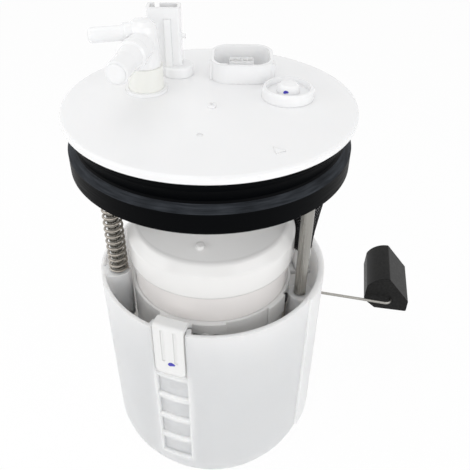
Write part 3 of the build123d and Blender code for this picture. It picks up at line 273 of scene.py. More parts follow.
# ---- fill valve and strainer ----
# The fill valve is a rubber mushroom in the reservoir's floor. The strainer is a flat bag of
# woven nylon, welded round its edge and held open by a moulded neck under the pump's inlet.
def black_rubber_finish(name, dull, shiny, bumps):
    """Matt black rubber with a faint bloom."""
    material, tree, shader = finish_of(name, (0.004, 0.0045, 0.005), dull)
    shader.inputs["Specular IOR Level"].default_value = 0.02
    bloom = grain(tree, 120, 5.0, (1, 1, 2.5))
    vary(tree, bloom, shader.inputs["Base Color"], (0.0015, 0.0015, 0.002), (0.005, 0.006, 0.008))
    vary(tree, bloom, shader.inputs["Roughness"], shiny, dull)
    rough_up(tree, shader, grain(tree, 1800, 3.0), bumps, 0.00008)
    return material


rubber = black_rubber_finish("black_rubber", 0.58, 0.40, 0.25)
dress(rubber, "fill_valve")

cream_nylon = moulded("cream_nylon", (0.93, 0.93, 0.88), 0.22, milky=0.25, depth=0.002, bumps=0.05)

bag_low, bag_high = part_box("strainer")
bag_middle = ((bag_low[0] + bag_high[0]) / 2, (bag_low[1] + bag_high[1]) / 2)
bag_half = ((bag_high[0] - bag_low[0]) / 2 - 0.0005, (bag_high[1] - bag_low[1]) / 2 - 0.0005)
bag_thickness = 0.0046
seam_width = 0.0025
bag_cells = (44, 26)

clear()
bpy.ops.mesh.primitive_grid_add(x_subdivisions=bag_cells[0], y_subdivisions=bag_cells[1], size=2)
bag = bpy.context.object
bag.name = "strainer_bag"
corner_power = 5.0
for point in bag.data.vertices:
    # square grid to a rounded outline, then one crowned sheet that flattens to the seam
    u, v = point.co.x, point.co.y
    reach = max(abs(u), abs(v))
    if reach > 0:
        powers = abs(u / reach) ** corner_power + abs(v / reach) ** corner_power
        outline = powers ** (1 / corner_power)
        u, v = u / outline, v / outline
    to_seam = min((1 - abs(reach)) * min(bag_half) / seam_width - 1, 3.0)
    crown = max(0.0, min(1.0, to_seam / 3.0))
    ripple = 0.00012 * math.sin(point.co.x * 23) * math.sin(point.co.y * 17)
    rise = bag_thickness / 2 * math.sin(crown * math.pi / 2) ** 0.7 + (ripple if crown > 0.3 else 0)
    point.co = (u * bag_half[0], v * bag_half[1], 0.0003 + max(rise, 0) - 0.0003 * crown)
bpy.ops.object.mode_set(mode="EDIT")
bpy.ops.mesh.select_all(action="SELECT")
bpy.ops.mesh.duplicate()
bpy.ops.transform.resize(value=(1, 1, -1), center_override=(0, 0, 0))
bpy.ops.mesh.select_all(action="SELECT")
bpy.ops.mesh.region_to_loop()
bpy.ops.mesh.bridge_edge_loops()
bpy.ops.mesh.select_all(action="SELECT")
bpy.ops.mesh.normals_make_consistent(inside=False)
bpy.ops.object.mode_set(mode="OBJECT")
bpy.ops.object.shade_smooth()
bag.location = (*bag_middle, bag_low[2] + bag_thickness / 2 + 0.0002)
bpy.ops.object.transform_apply(location=True, rotation=True, scale=True)

mesh_cloth, cloth_tree, cloth_shader = finish_of("strainer_cloth", (0.74, 0.74, 0.70), 0.8)
weave_place = cloth_tree.nodes.new("ShaderNodeTexCoord")
weave = cloth_tree.nodes.new("ShaderNodeTexChecker")
weave.inputs["Scale"].default_value = 2200
weave.inputs["Color1"].default_value = (1, 1, 1, 1)
weave.inputs["Color2"].default_value = (0, 0, 0, 1)
cloth_tree.links.new(weave_place.outputs["Object"], weave.inputs["Vector"])
vary(cloth_tree, weave.outputs["Fac"], cloth_shader.inputs["Base Color"], (0.55, 0.55, 0.52),
     (0.80, 0.80, 0.77), 0, 1)
rough_up(cloth_tree, cloth_shader, weave.outputs["Fac"], 0.4, 0.00015)
bag.data.materials.append(mesh_cloth)
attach(bag, "reservoir")
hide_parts("strainer")


def ring_profile(name, outline, place, sides=64):
    """Turned piece: a closed outline of (radius, height) spun round a vertical axis at a place."""
    clear()
    bpy.ops.mesh.primitive_circle_add(vertices=len(outline), radius=1, fill_type="NOTHING")
    piece = bpy.context.object
    piece.name = name
    for point, (radius, height) in zip(piece.data.vertices, outline):
        point.co = (radius, 0, height)
    bpy.ops.object.mode_set(mode="EDIT")
    bpy.ops.mesh.select_all(action="SELECT")
    bpy.ops.mesh.spin(steps=sides, angle=2 * math.pi, center=(0, 0, 0), axis=(0, 0, 1),
                      use_auto_merge=True)
    bpy.ops.mesh.select_all(action="SELECT")
    bpy.ops.mesh.remove_doubles(threshold=0.000001)
    bpy.ops.mesh.normals_make_consistent(inside=False)
    bpy.ops.object.mode_set(mode="OBJECT")
    bpy.ops.object.shade_smooth_by_angle(angle=math.radians(35))
    piece.location = (*place, 0)
    bpy.ops.object.transform_apply(location=True, rotation=True, scale=True)
    return piece


neck_bore, neck_outer = 0.00545, 0.0070
neck_foot, neck_top = bag_low[2] + bag_thickness, bag_high[2]
neck = ring_profile("strainer_neck", [
    (neck_bore, neck_foot - 0.0012), (0.0098, neck_foot - 0.0012), (0.0098, neck_foot + 0.0004),
    (neck_outer, neck_foot + 0.0008), (neck_outer, neck_top - 0.0003),
    (neck_outer - 0.0003, neck_top), (neck_bore, neck_top)], (0, 0))
neck.data.materials.append(cream_nylon)
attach(neck, "reservoir")

# ---- jet pump ----
# A natural nylon venturi clipped in the reservoir's foot; return fuel through it draws more
# fuel in from the tank.
dress(cream_nylon, "jet_pump")

# ---- fuel pump ----
# Steel can with rolled-in ends: two magnets, a wound armature on a ground shaft, a vane wheel
# in the inlet cover, and an outlet cover with its check valve. It hangs in two rubber rings.
dress(rubber, "pump_isolators")


def drawn_metal(name, colour, roughness, lines=(1, 1, 30), strength=0.25):
    """Drawn or ground metal with fine lines across its length."""
    material, tree, shader = finish_of(name, colour, roughness, 1.0)
    scratch = grain(tree, 260, 5.0, lines)
    vary(tree, scratch, shader.inputs["Roughness"], roughness * 0.7, roughness * 1.4)
    vary(tree, scratch, shader.inputs["Base Color"], tuple(c * 0.8 for c in colour), colour)
    rough_up(tree, shader, scratch, strength, 0.00004)
    return material


ground_steel = drawn_metal("ground_steel", (0.37, 0.36, 0.335), 0.30, (6, 6, 0.12))
dress(ground_steel, "pump_case", "rotor_shaft")
contact_brass = drawn_metal("contact_brass", (0.78, 0.60, 0.34), 0.28, (1, 1, 6))
dress(contact_brass, "commutator")
magnet_grey = drawn_metal("magnet_grey", (0.16, 0.16, 0.17), 0.55, (1, 1, 12))
dress(magnet_grey, "pump_magnets", "armature")
black_plastic = moulded("black_plastic", (0.02, 0.02, 0.021), 0.38, bumps=0.3, shade=0.2)
dress(black_plastic, "pump_inlet", "pump_end_cap", "impeller")
dress(cream_nylon, "check_valve")


# ---- check valve's spring ----
# Fine stainless wire, wound right-handed with a closed turn at each end. It presses the
# valve on its seat in the pump's outlet and shortens as the valve lifts.
def wound_spring(name, foot, top, radius, wire, pitch, place, steps=28, sides=12):
    """Wire ring swept up a helix, with one closed turn at each end."""
    low, closed = foot + wire, 2 * wire + 0.00008
    open_height = top - wire - low - 2 * closed
    open_turns = round(2 * open_height / pitch) / 2
    turns = open_turns + 2
    clear()
    bpy.ops.mesh.primitive_circle_add(vertices=sides, radius=wire, fill_type="NOTHING",
                                      rotation=(math.pi / 2, 0, 0))
    piece = bpy.context.object
    piece.name = name
    bpy.ops.object.transform_apply(location=True, rotation=True, scale=True)
    piece.data.transform(Matrix.Translation((radius, 0, 0)))
    screw = piece.modifiers.new("winding", "SCREW")
    screw.axis = "Z"
    screw.angle = 2 * math.pi * turns
    screw.screw_offset = 1.0
    screw.steps = screw.render_steps = round(steps * turns)
    screw.use_merge_vertices = False
    bpy.ops.object.modifier_apply(modifier=screw.name)
    # the modifier climbs evenly by one metre in all; each ring goes to its true height
    rings = len(piece.data.vertices) // sides
    for index, point in enumerate(piece.data.vertices):
        part = (index // sides) / (rings - 1)
        turn = part * turns
        opened = min(max(turn - 1, 0), open_turns)
        height = low + (turn - opened) * closed + opened * open_height / open_turns
        point.co.z += height - part
    bpy.ops.object.mode_set(mode="EDIT")
    bpy.ops.mesh.select_all(action="SELECT")
    bpy.ops.mesh.fill_holes(sides=sides)
    bpy.ops.mesh.select_all(action="SELECT")
    bpy.ops.mesh.normals_make_consistent(inside=False)
    bpy.ops.object.mode_set(mode="OBJECT")
    bpy.ops.object.shade_smooth_by_angle(angle=math.radians(50))
    piece.location = (*place, 0)
    bpy.ops.object.transform_apply(location=True, rotation=True, scale=True)
    return piece


spring_wire = drawn_metal("spring_wire", (0.46, 0.43, 0.39), 0.30, (1, 1, 1), 0.15)
check_foot, check_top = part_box("check_spring")[0][2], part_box("check_spring")[1][2]
valve_spring = wound_spring("valve_spring", check_foot, check_top, 0.0019, 0.00025, 0.0014, (0, 0))
valve_spring.data.materials.append(spring_wire)
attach(valve_spring, "reservoir")
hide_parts("check_spring")
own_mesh(valve_spring)

# ---- filter housing, element and cap ----
# The housing is a drum of clouded acetal that stands in the reservoir on four legs; the
# pleated paper element fills it. The cap is pressed over its top edge on a rubber gasket.
housing_plastic = moulded("housing_plastic", (0.90, 0.87, 0.855), 0.36, milky=0.15, depth=0.002)
dress(housing_plastic, "filter_housing")

paper, paper_tree, paper_shader = finish_of("filter_paper", (0.80, 0.72, 0.52), 0.9)
fibres = grain(paper_tree, 900, 6.0, (1, 1, 0.3))
vary(paper_tree, fibres, paper_shader.inputs["Base Color"], (0.66, 0.57, 0.37), (0.84, 0.77, 0.58))
rough_up(paper_tree, paper_shader, fibres, 0.5, 0.0002)
dress(paper, "filter_element")
dress(rubber, "cap_gasket")

cap_white = moulded("cap_white", (0.882, 0.876, 0.866), 0.17, milky=0.15, depth=0.002, bumps=0.05,
                    edge=0.0012)
dress(cap_white, "filter_cap")

# ---- pump bracket ----
# A moulded ring round the filter housing with two tabs and a springy hook, whose tongue snaps
# on the reservoir's ladder. A dab of paint on the tongue says that it was checked.
bracket_acetal = moulded("bracket_acetal", (0.86, 0.86, 0.853), 0.36, milky=0.2, depth=0.002)
dress(bracket_acetal, "pump_bracket")


def paint_dab(name, piece, origin, way, width, height, body):
    """Thin uneven drop of blue paint on the surface that a line from origin along way meets."""
    thickness = 0.00016
    _, place, normal, _ = piece.ray_cast(origin, way)
    clear()
    bpy.ops.mesh.primitive_uv_sphere_add(segments=20, ring_count=10, radius=1)
    drop = bpy.context.object
    drop.name = name
    bpy.ops.object.mode_set(mode="EDIT")
    bpy.ops.mesh.select_all(action="SELECT")
    bpy.ops.transform.resize(value=(width / 2, height / 2, thickness), center_override=(0, 0, 0))
    bpy.ops.object.mode_set(mode="OBJECT")
    for point in drop.data.vertices:
        angle = math.atan2(point.co.y / height, point.co.x / width)
        swell = 1 + 0.16 * math.sin(2 * angle + 0.7) + 0.10 * math.sin(3 * angle + 2.1)
        point.co.x *= swell
        point.co.y *= swell
    bpy.ops.object.shade_smooth()
    facing_out = normal.to_track_quat("Z", "Y").to_matrix().to_4x4()
    drop.data.transform(Matrix.Translation(place) @ facing_out)
    drop.data.materials.append(blue_paint)
    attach(drop, body)


blue_paint, paint_tree, paint_shader = finish_of("blue_paint", (0.035, 0.030, 0.42), 0.35)
vary(paint_tree, grain(paint_tree, 900, 2.0), paint_shader.inputs["Base Color"],
     (0.020, 0.018, 0.30), (0.06, 0.05, 0.55))
tongue_angle, tongue_dab_height, outside_it = math.radians(-108.8), 0.1003, 0.09
tongue_way = Vector((-math.cos(tongue_angle), -math.sin(tongue_angle), 0))
tongue_start = Vector((0, 0, tongue_dab_height)) - tongue_way * outside_it
paint_dab("tongue_dab", node["pump_bracket"], tongue_start, tongue_way, 0.0036, 0.0030,
          "reservoir")

# ---- level sender, its arm and the float ----
# A housing clipped on the reservoir's flat holds a resistor card with thick-film tracks; a
# brass wiper on the arm's holder runs over them. The float is pushed on the wire's bent end.
dress(white_acetal, "sender_housing", "arm_holder")
dress(contact_brass, "wiper")
board_green = (0.10, 0.26, 0.17)
track_silver, resistor_black = (0.55, 0.54, 0.50), (0.015, 0.015, 0.016)
card, card_tree, card_shader = finish_of("resistor_card", board_green, 0.3)
pivot_place = (0.01152, 0.053817, 0.0582)
card_side = math.radians(80)
card_along = (-math.sin(card_side), math.cos(card_side), 0)
pads_per_radian = 110.0
pad_arc, rail_arc, resistor_arc = (0.0103, 0.0011), (0.0119, 0.00025), (0.0131, 0.0008)


def card_math(kind, first, second=None, third=None):
    """One sum in the card's drawing; inputs are sockets or numbers."""
    step = card_tree.nodes.new("ShaderNodeMath")
    step.operation = kind
    for socket, value in zip(step.inputs, (first, second, third)):
        if isinstance(value, (int, float)):
            socket.default_value = value
        elif value is not None:
            card_tree.links.new(value, socket)
    return step.outputs[0]


def card_layer(below, colour, where):
    """Prints a colour over the one below, where a value is 1."""
    layer = card_tree.nodes.new("ShaderNodeMix")
    layer.data_type = "RGBA"
    card_tree.links.new(below, layer.inputs["A"])
    layer.inputs["B"].default_value = (*colour, 1)
    card_tree.links.new(where, layer.inputs["Factor"])
    return layer.outputs["Result"]


card_place = card_tree.nodes.new("ShaderNodeTexCoord")
from_pivot = card_tree.nodes.new("ShaderNodeVectorMath")
from_pivot.operation = "SUBTRACT"
from_pivot.inputs[1].default_value = pivot_place
card_tree.links.new(card_place.outputs["Object"], from_pivot.inputs[0])
sideways = card_tree.nodes.new("ShaderNodeVectorMath")
sideways.operation = "DOT_PRODUCT"
sideways.inputs[1].default_value = card_along
card_tree.links.new(from_pivot.outputs["Vector"], sideways.inputs[0])
card_axes = card_tree.nodes.new("ShaderNodeSeparateXYZ")
card_tree.links.new(from_pivot.outputs["Vector"], card_axes.inputs["Vector"])
card_x, card_z = sideways.outputs["Value"], card_axes.outputs["Z"]
card_reach = card_math("SQRT", card_math("ADD", card_math("MULTIPLY", card_x, card_x),
                                         card_math("MULTIPLY", card_z, card_z)))
card_turn = card_math("ARCTAN2", card_z, card_x)
pad_wave = card_math("SINE", card_math("MULTIPLY", card_turn, pads_per_radian))
pads = card_math("GREATER_THAN", pad_wave, 0.0)
pad_row = card_math("MULTIPLY", pads, card_math("COMPARE", card_reach, *pad_arc))
rail = card_math("COMPARE", card_reach, *rail_arc)
resistor = card_math("COMPARE", card_reach, *resistor_arc)
green = card_tree.nodes.new("ShaderNodeRGB")
green.outputs[0].default_value = (*board_green, 1)
drawing = green.outputs[0]
for ink, where in ((track_silver, pad_row), (track_silver, rail), (resistor_black, resistor)):
    drawing = card_layer(drawing, ink, where)
card_tree.links.new(drawing, card_shader.inputs["Base Color"])
vary(card_tree, grain(card_tree, 300, 3.0), card_shader.inputs["Roughness"], 0.22, 0.42)
rough_up(card_tree, card_shader, card_math("ADD", pad_row, resistor), 0.5, 0.00005)
dress(card, "resistor_card")
dress(ground_steel, "float_arm")

foam, foam_tree, foam_shader = finish_of("float_foam", (0.018, 0.018, 0.018), 0.46)
foam_shader.inputs["Specular IOR Level"].default_value = 0.12
soften(foam_tree, foam_shader, 0.0009)
skin = grain(foam_tree, 700, 4.0)
vary(foam_tree, skin, foam_shader.inputs["Base Color"], (0.006, 0.006, 0.006),
     (0.017, 0.017, 0.0165))
vary(foam_tree, skin, foam_shader.inputs["Roughness"], 0.36, 0.50)
rough_up(foam_tree, foam_shader, skin, 0.25, 0.00025)
dress(foam, "float")

# ---- flange and what is moulded with it ----
# Glossy acetal disc with a skirt, ribs and rod bosses under it and a keyed socket for the
# vehicle's plug on top.
flange_white = moulded("flange_white", (0.918, 0.920, 0.926), 0.09, milky=0.2, depth=0.002,
                       bumps=0.03, shade=0.015)
dress(flange_white, "flange_cover")

# ---- tank seal ----
# Black rubber ring under the flange's edge: a lip, a waist and a wide band that the tank's
# clamp ring squeezes.
seal_rubber, seal_tree, seal_shader = finish_of("seal_rubber", (0.002, 0.002, 0.003), 0.45)
seal_shader.inputs["Specular IOR Level"].default_value = 0.03
facing = seal_tree.nodes.new("ShaderNodeTexCoord")
upright = seal_tree.nodes.new("ShaderNodeSeparateXYZ")
slope = seal_tree.nodes.new("ShaderNodeMapRange")
slope.inputs["From Min"].default_value = 0.35
slope.inputs["From Max"].default_value = 0.75
seal_tree.links.new(facing.outputs["Normal"], upright.inputs["Vector"])
seal_tree.links.new(upright.outputs["Z"], slope.inputs["Value"])
# streaks run round the ring: noise on the angle, the height and a little of the radius
ring_place = seal_tree.nodes.new("ShaderNodeSeparateXYZ")
round_angle = seal_tree.nodes.new("ShaderNodeMath")
round_angle.operation = "ARCTAN2"
unrolled = seal_tree.nodes.new("ShaderNodeCombineXYZ")
streak_noise = seal_tree.nodes.new("ShaderNodeTexNoise")
streak_noise.inputs["Scale"].default_value = 5.0
streak_noise.inputs["Detail"].default_value = 6.0
height_scale = seal_tree.nodes.new("ShaderNodeMath")
height_scale.operation = "MULTIPLY"
height_scale.inputs[1].default_value = 260.0
seal_tree.links.new(facing.outputs["Object"], ring_place.inputs["Vector"])
seal_tree.links.new(ring_place.outputs["Y"], round_angle.inputs[0])
seal_tree.links.new(ring_place.outputs["X"], round_angle.inputs[1])
seal_tree.links.new(ring_place.outputs["Z"], height_scale.inputs[0])
seal_tree.links.new(round_angle.outputs[0], unrolled.inputs["X"])
seal_tree.links.new(height_scale.outputs[0], unrolled.inputs["Z"])
seal_tree.links.new(unrolled.outputs[0], streak_noise.inputs["Vector"])
streaks = streak_noise.outputs["Fac"]
# Painted reflection: upward-facing slopes, broken up by the streaks, get a lighter bluish grey in
# the base colour that stands in for the bright room mirrored on the seal's ledge.
painted_sheen_on_slopes = seal_tree.nodes.new("ShaderNodeMath")
painted_sheen_on_slopes.operation = "MULTIPLY"
seal_tree.links.new(slope.outputs["Result"], painted_sheen_on_slopes.inputs[0])
seal_tree.links.new(streaks, painted_sheen_on_slopes.inputs[1])
vary(seal_tree, painted_sheen_on_slopes.outputs[0], seal_shader.inputs["Base Color"], (0.0012, 0.0015, 0.002),
     (0.060, 0.067, 0.078), 0.18, 0.78)
vary(seal_tree, streaks, seal_shader.inputs["Roughness"], 0.34, 0.55)
rough_up(seal_tree, seal_shader, grain(seal_tree, 1800, 3.0), 0.25, 0.00008)
dress(seal_rubber, "tank_seal")

# ---- fuel outlet, vent and their covers ----
# The outlet socket is a cream nylon cup with a hose barb under the flange; the fitting with
# two spigots is welded in it. The vent tower stands on a puck over the roll-over valve.
dress(cream_nylon, "outlet_socket")
dress(flange_white, "outlet_fitting", "vent_tower", "round_plug")
dress(black_plastic, "vent_valve")

# ---- transport stopper ----
# Soft white plug pushed in the main spigot's bore until the fuel line is fitted. Its thin
# domed head closes the spigot's end.
spigot_angle, spigot_root, spigot_reach = math.radians(260), (-0.0303, 0.0115, 0.2405), 0.0379
spigot_way = Vector((math.cos(spigot_angle), math.sin(spigot_angle), 0))
spigot_end = Vector(spigot_root) + spigot_way * spigot_reach
stem_length, stem_radius = 0.0072, 0.00318
head_radius, head_rise = 0.0043, 0.0007
stopper = ring_profile("spigot_stopper", [
    (0.0001, -stem_length), (stem_radius - 0.0004, -stem_length),
    (stem_radius, -stem_length + 0.0008), (stem_radius, 0.00004), (head_radius, 0.00004),
    (head_radius, head_rise * 0.45),
    (head_radius - 0.0005, head_rise * 0.9), (0.0020, head_rise), (0.0001, head_rise)], (0, 0), 48)
along_spigot = spigot_way.to_track_quat("Z", "Y").to_matrix().to_4x4()
stopper.data.transform(Matrix.Translation(spigot_end) @ along_spigot)
stopper.data.materials.append(flange_white)
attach(stopper, "flange")
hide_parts("outlet_stopper")
boss_side, boss_way = Vector((0.03434, -0.00455, 0.2240)), Vector((0.0008, 0.0078, -0.0034))
paint_dab("plug_dab", node["round_plug"], boss_side - boss_way, boss_way.normalized(),
          0.0022, 0.0016, "flange")

# ---- terminals ----
# Four tinned blades in wells of a white block that snaps in the socket's window.
dress(white_acetal, "terminal_block")
tinned = drawn_metal("tinned_brass", (0.62, 0.60, 0.56), 0.30, (1, 1, 6))
dress(tinned, "terminals")

# ---- pressure regulator ----
# Drawn steel can under the round plug; a small plate on a spring opens at the set pressure.
dress(ground_steel, "regulator_can", "regulator_valve")
hold_foot, hold_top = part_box("regulator_spring")[0][2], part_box("regulator_spring")[1][2]
hold_place = (0.0363, 0.0045)
hold_spring = wound_spring("hold_spring", hold_foot, hold_top, 0.0032, 0.0004, 0.0026, hold_place)
hold_spring.data.materials.append(spring_wire)
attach(hold_spring, "flange")
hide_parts("regulator_spring")
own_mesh(hold_spring)

# ---- guide rods and clips ----
# Ground steel rods pressed in the flange's bosses; a clip in a groove stops each one under
# its guide.
dress(ground_steel, "guide_rod_left", "guide_rod_right")
dress(spring_wire, "rod_clips")

# ---- return spring ----
# Black-oiled spring wire round the left rod, between the reservoir's guide and the flange's
# boss. It pushes the reservoir down on the tank's floor.
coil_foot, coil_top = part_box("return_spring")[0][2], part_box("return_spring")[1][2]
coil_place = (0.0512 * math.cos(math.radians(191)), 0.0512 * math.sin(math.radians(191)))
lift_spring = wound_spring("lift_spring", coil_foot, coil_top, 0.00455, 0.00065, 0.0039, coil_place)
oiled_wire = drawn_metal("oiled_wire", (0.40, 0.37, 0.33), 0.32, (1, 1, 1), 0.15)
lift_spring.data.materials.append(oiled_wire)
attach(lift_spring, "reservoir")
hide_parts("return_spring")
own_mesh(lift_spring)


# ---- fuel hose and its clamps ----
# Moulded rubber elbow hose from the cap's outlet up to the barb under the flange, pressed on
# at both ends under steel clamps.
def route_line(name, points, resolution):
    """Points along a smooth route, read from its curve."""
    curve = bpy.data.curves.new(name, "CURVE")
    curve.dimensions = "3D"
    curve.resolution_u = resolution
    spline = curve.splines.new("NURBS")
    spline.points.add(len(points) - 1)
    for handle, point in zip(spline.points, points):
        handle.co = (*point, 1)
    spline.order_u = 3
    spline.use_endpoint_u = True
    holder = bpy.data.objects.new(name, curve)
    scene.collection.objects.link(holder)
    mesh = bpy.data.meshes.new_from_object(holder)
    line = [point.co.copy() for point in mesh.vertices]
    bpy.data.objects.remove(holder)
    bpy.data.curves.remove(curve)
    bpy.data.meshes.remove(mesh)
    return line


def spread(line, step):
    """The same line with points an even step apart, and the length so far at each."""
    total = sum((b - a).length for a, b in zip(line, line[1:]))
    count = max(round(total / step), 2)
    even, passed, index = [line[0]], 0.0, 0
    for number in range(1, count):
        want = total * number / count
        while passed + (line[index + 1] - line[index]).length < want:
            passed += (line[index + 1] - line[index]).length
            index += 1
        part = (want - passed) / (line[index + 1] - line[index]).length
        even.append(line[index].lerp(line[index + 1], part))
    return even + [line[-1]], total


def frames_along(line):
    """Side and up directions at each point, carried along without twist."""
    ways = [(b - a).normalized() for a, b in zip(line, line[1:])]
    ways = [ways[0]] + [(a + b).normalized() for a, b in zip(ways, ways[1:])] + [ways[-1]]
    side = ways[0].orthogonal().normalized()
    sides = []
    for way in ways:
        side = (side - way * side.dot(way)).normalized()
        sides.append((side, way.cross(side)))
    return sides


def skin_rings(name, rings, closed_ends=True):
    """Tube of quads through rings of points, with its ends closed or left open."""
    mesh = bmesh.new()
    laid = [[mesh.verts.new(point) for point in ring] for ring in rings]
    for near, far in zip(laid, laid[1:]):
        for this, beside, over, above in zip(near, near[1:] + near[:1], far[1:] + far[:1], far):
            mesh.faces.new((this, beside, over, above))
    if closed_ends:
        mesh.faces.new(laid[0][::-1])
        mesh.faces.new(laid[-1])
    bmesh.ops.recalc_face_normals(mesh, faces=mesh.faces)
    data = bpy.data.meshes.new(name)
    mesh.to_mesh(data)
    mesh.free()
    piece = bpy.data.objects.new(name, data)
    scene.collection.objects.link(piece)
    for face in data.polygons:
        face.use_smooth = True
    return piece


def round_tube(name, line, radii, sides=40):
    """Round tube along a line, with a radius at each point."""
    rings = []
    for place, (side, up), radius in zip(line, frames_along(line), radii):
        rings.append([place + (side * math.cos(turn) + up * math.sin(turn)) * radius
                      for turn in (2 * math.pi * n / sides for n in range(sides))])
    return skin_rings(name, rings)


hose_route = [(0.00866, 0.02601, 0.163), (-0.0191, 0.0157, 0.163), (-0.0303, 0.0115, 0.175),
              (-0.0303, 0.0115, 0.2124)]
hose_line, hose_length = spread(route_line("hose_route", hose_route, 48), 0.0006)
hose_radius = 0.0050
rib_rise, rib_pitch, plain_end = 0.0006, 0.0036, 0.014
hose_radii = []
for number in range(len(hose_line)):
    along = hose_length * number / (len(hose_line) - 1)
    inside = min(along, hose_length - along) - plain_end
    rib = 0.5 + 0.5 * math.cos(2 * math.pi * along / rib_pitch)
    hose_radii.append(hose_radius - 0.0003 + (rib_rise * rib if inside > 0 else 0.0003))
hose = round_tube("elbow_hose", hose_line, hose_radii)
hose_rubber = black_rubber_finish("hose_rubber", 0.55, 0.42, 0.2)
hose.data.materials.append(hose_rubber)
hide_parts("fuel_hose")
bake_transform(hose)
dress(ground_steel, "upper_clamp", "lower_clamp")


def clamp_ear(name, place, way, body):
    """Folded ear that was squeezed to draw a clamp tight, standing on the clamp's band."""
    ear_length, ear_width, ear_height = 0.0034, 0.0040, 0.0026
    leg_thickness, sunk_to, band_radius = 0.0007, 0.72, 0.0056
    clear()
    bpy.ops.mesh.primitive_cube_add(size=1, scale=(ear_length, ear_width, ear_height))
    ear = bpy.context.object
    ear.name = name
    bpy.ops.object.transform_apply(location=True, rotation=True, scale=True)
    bpy.ops.object.mode_set(mode="EDIT")
    bpy.ops.mesh.select_all(action="DESELECT")
    bpy.ops.mesh.select_mode(type="FACE")
    cells = bmesh.from_edit_mesh(ear.data)
    for face in cells.faces:
        face.select_set(abs(face.normal.y) > 0.9)
    bmesh.update_edit_mesh(ear.data)
    # the open ends of the fold, sunk between its two legs
    bpy.ops.mesh.inset(thickness=leg_thickness)
    cells = bmesh.from_edit_mesh(ear.data)
    for face in [face for face in cells.faces if face.select]:
        for point in face.verts:
            point.co.y *= sunk_to
    bmesh.update_edit_mesh(ear.data)
    bpy.ops.object.mode_set(mode="OBJECT")
    rounding = ear.modifiers.new("folded", "BEVEL")
    rounding.width = 0.00035
    rounding.segments = 3
    rounding.limit_method = "ANGLE"
    bpy.ops.object.modifier_apply(modifier=rounding.name)
    bpy.ops.object.shade_smooth_by_angle(angle=math.radians(40))
    # the ear's width lies along the hose and its height points away from it
    up, along = Vector(way[0]), Vector(way[1])
    turned_to = Matrix((along.cross(up), along, up)).transposed().to_4x4()
    middle = Vector(place) + up * (band_radius + ear_height / 2)
    ear.data.transform(Matrix.Translation(middle) @ turned_to)
    ear.data.materials.append(ground_steel)
    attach(ear, body)


hose_way = Vector((-0.9371, -0.3490, 0)).normalized()
clamp_ear("lower_clamp_ear", (0.0021, 0.02357, 0.163), ((0, 0, 1), hose_way), "reservoir")
clamp_ear("upper_clamp_ear", (-0.0303, 0.0115, 0.2034), ((-0.8, 0.6, 0), (0, 0, 1)), "flange")


# ---- wiring harness ----
# Four wires in a braided black sleeve, from the terminal block down to a white plug on the
# reservoir's shelf. It bows out over the rim and has slack for the flange's travel.
harness_route = [(0.0172, 0.0335, 0.206), (0.0172, 0.0335, 0.1902), (0.04198, 0.02603, 0.1839),
                 (0.0550, 0.0100, 0.1641), (0.05087, 0.00806, 0.1452), (0.05087, 0.00806, 0.127)]
harness_line, harness_length = spread(route_line("harness_route", harness_route, 24), 0.0011)
sleeve_radius, sleeve_swell, swell_height = 0.0055, 0.0012, 0.024
plug_end = harness_route[-1][2]


def sleeve_girth(height):
    """The braid is drawn tight at the plug and spreads to its full girth above it."""
    part = min(max((height - plug_end) / swell_height, 0), 1)
    return sleeve_radius + sleeve_swell * part * part * (3 - 2 * part)


bundle = round_tube("wire_bundle", harness_line,
                    [sleeve_girth(place.z) - 0.0006 for place in harness_line], 24)
# Painted light: the wire bundle is given a pale grey so that the braid's gaps show light, as if the
# bright room were seen through the sleeve.
bundle_pale_for_light, pale_bundle_tree, pale_bundle_shader = finish_of("bundle_pale_for_light", (0.42, 0.42, 0.43), 0.6)
vary(pale_bundle_tree, grain(pale_bundle_tree, 700, 2.0), pale_bundle_shader.inputs["Base Color"], (0.70, 0.70, 0.71),
     (0.92, 0.92, 0.93))
bundle.data.materials.append(bundle_pale_for_light)

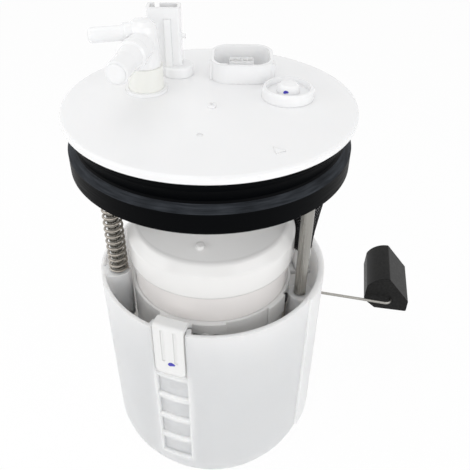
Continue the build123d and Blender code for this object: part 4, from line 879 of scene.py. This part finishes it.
strand_count = 22
strand_width, strand_thickness = 0.00060, 0.00022
strand_pitch, strand_lean, weave_lift = 0.034, 0.79, 0.00010
half_width = strand_width / 2
braid_frames = frames_along(harness_line)
braid = bmesh.new()
for hand in (1, -1):
    for strand in range(strand_count):
        corners = []
        for number, (place, (side, up)) in enumerate(zip(harness_line, braid_frames)):
            along = harness_length * number / (len(harness_line) - 1)
            turn = 2 * math.pi * (strand / strand_count + hand * along / strand_pitch)
            out = side * math.cos(turn) + up * math.sin(turn)
            round_way = hand * (up * math.cos(turn) - side * math.sin(turn))
            over = side.cross(up) * math.cos(strand_lean) + round_way * math.sin(strand_lean)
            across = out.cross(over).normalized() * half_width
            lift = sleeve_girth(place.z) - strand_thickness + hand * weave_lift
            low_face, top_face = place + out * lift, place + out * (lift + strand_thickness)
            section = (low_face - across, low_face + across,
                       top_face + across * 0.7, top_face - across * 0.7)
            corners.append([braid.verts.new(spot) for spot in section])
        for near, far in zip(corners, corners[1:]):
            for this in range(4):
                beside = (this + 1) % 4
                braid.faces.new((near[this], near[beside], far[beside], far[this]))
        braid.faces.new(corners[0][::-1])
        braid.faces.new(corners[-1])
bmesh.ops.recalc_face_normals(braid, faces=braid.faces)
braid_mesh = bpy.data.meshes.new("braided_sleeve")
braid.to_mesh(braid_mesh)
braid.free()
sleeve = bpy.data.objects.new("braided_sleeve", braid_mesh)
scene.collection.objects.link(sleeve)
yarn, yarn_tree, yarn_shader = finish_of("sleeve_yarn", (0.004, 0.004, 0.005), 0.45)
yarn_shader.inputs["Specular IOR Level"].default_value = 0.12
vary(yarn_tree, grain(yarn_tree, 1500, 2.0), yarn_shader.inputs["Roughness"], 0.35, 0.60)
sleeve.data.materials.append(yarn)
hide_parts("harness_sleeve")
for strand_piece in (sleeve, bundle):
    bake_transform(strand_piece)
dress(white_acetal, "harness_plug")

# ---- ground strap ----
# Stamped spring-steel strip with a black boot, which earths the sender's frame to the rim.
strap_metal = drawn_metal("strap_metal", (0.52, 0.49, 0.44), 0.35, (1, 1, 8))
dress(strap_metal, "ground_strap")
dress(black_plastic, "strap_boot")
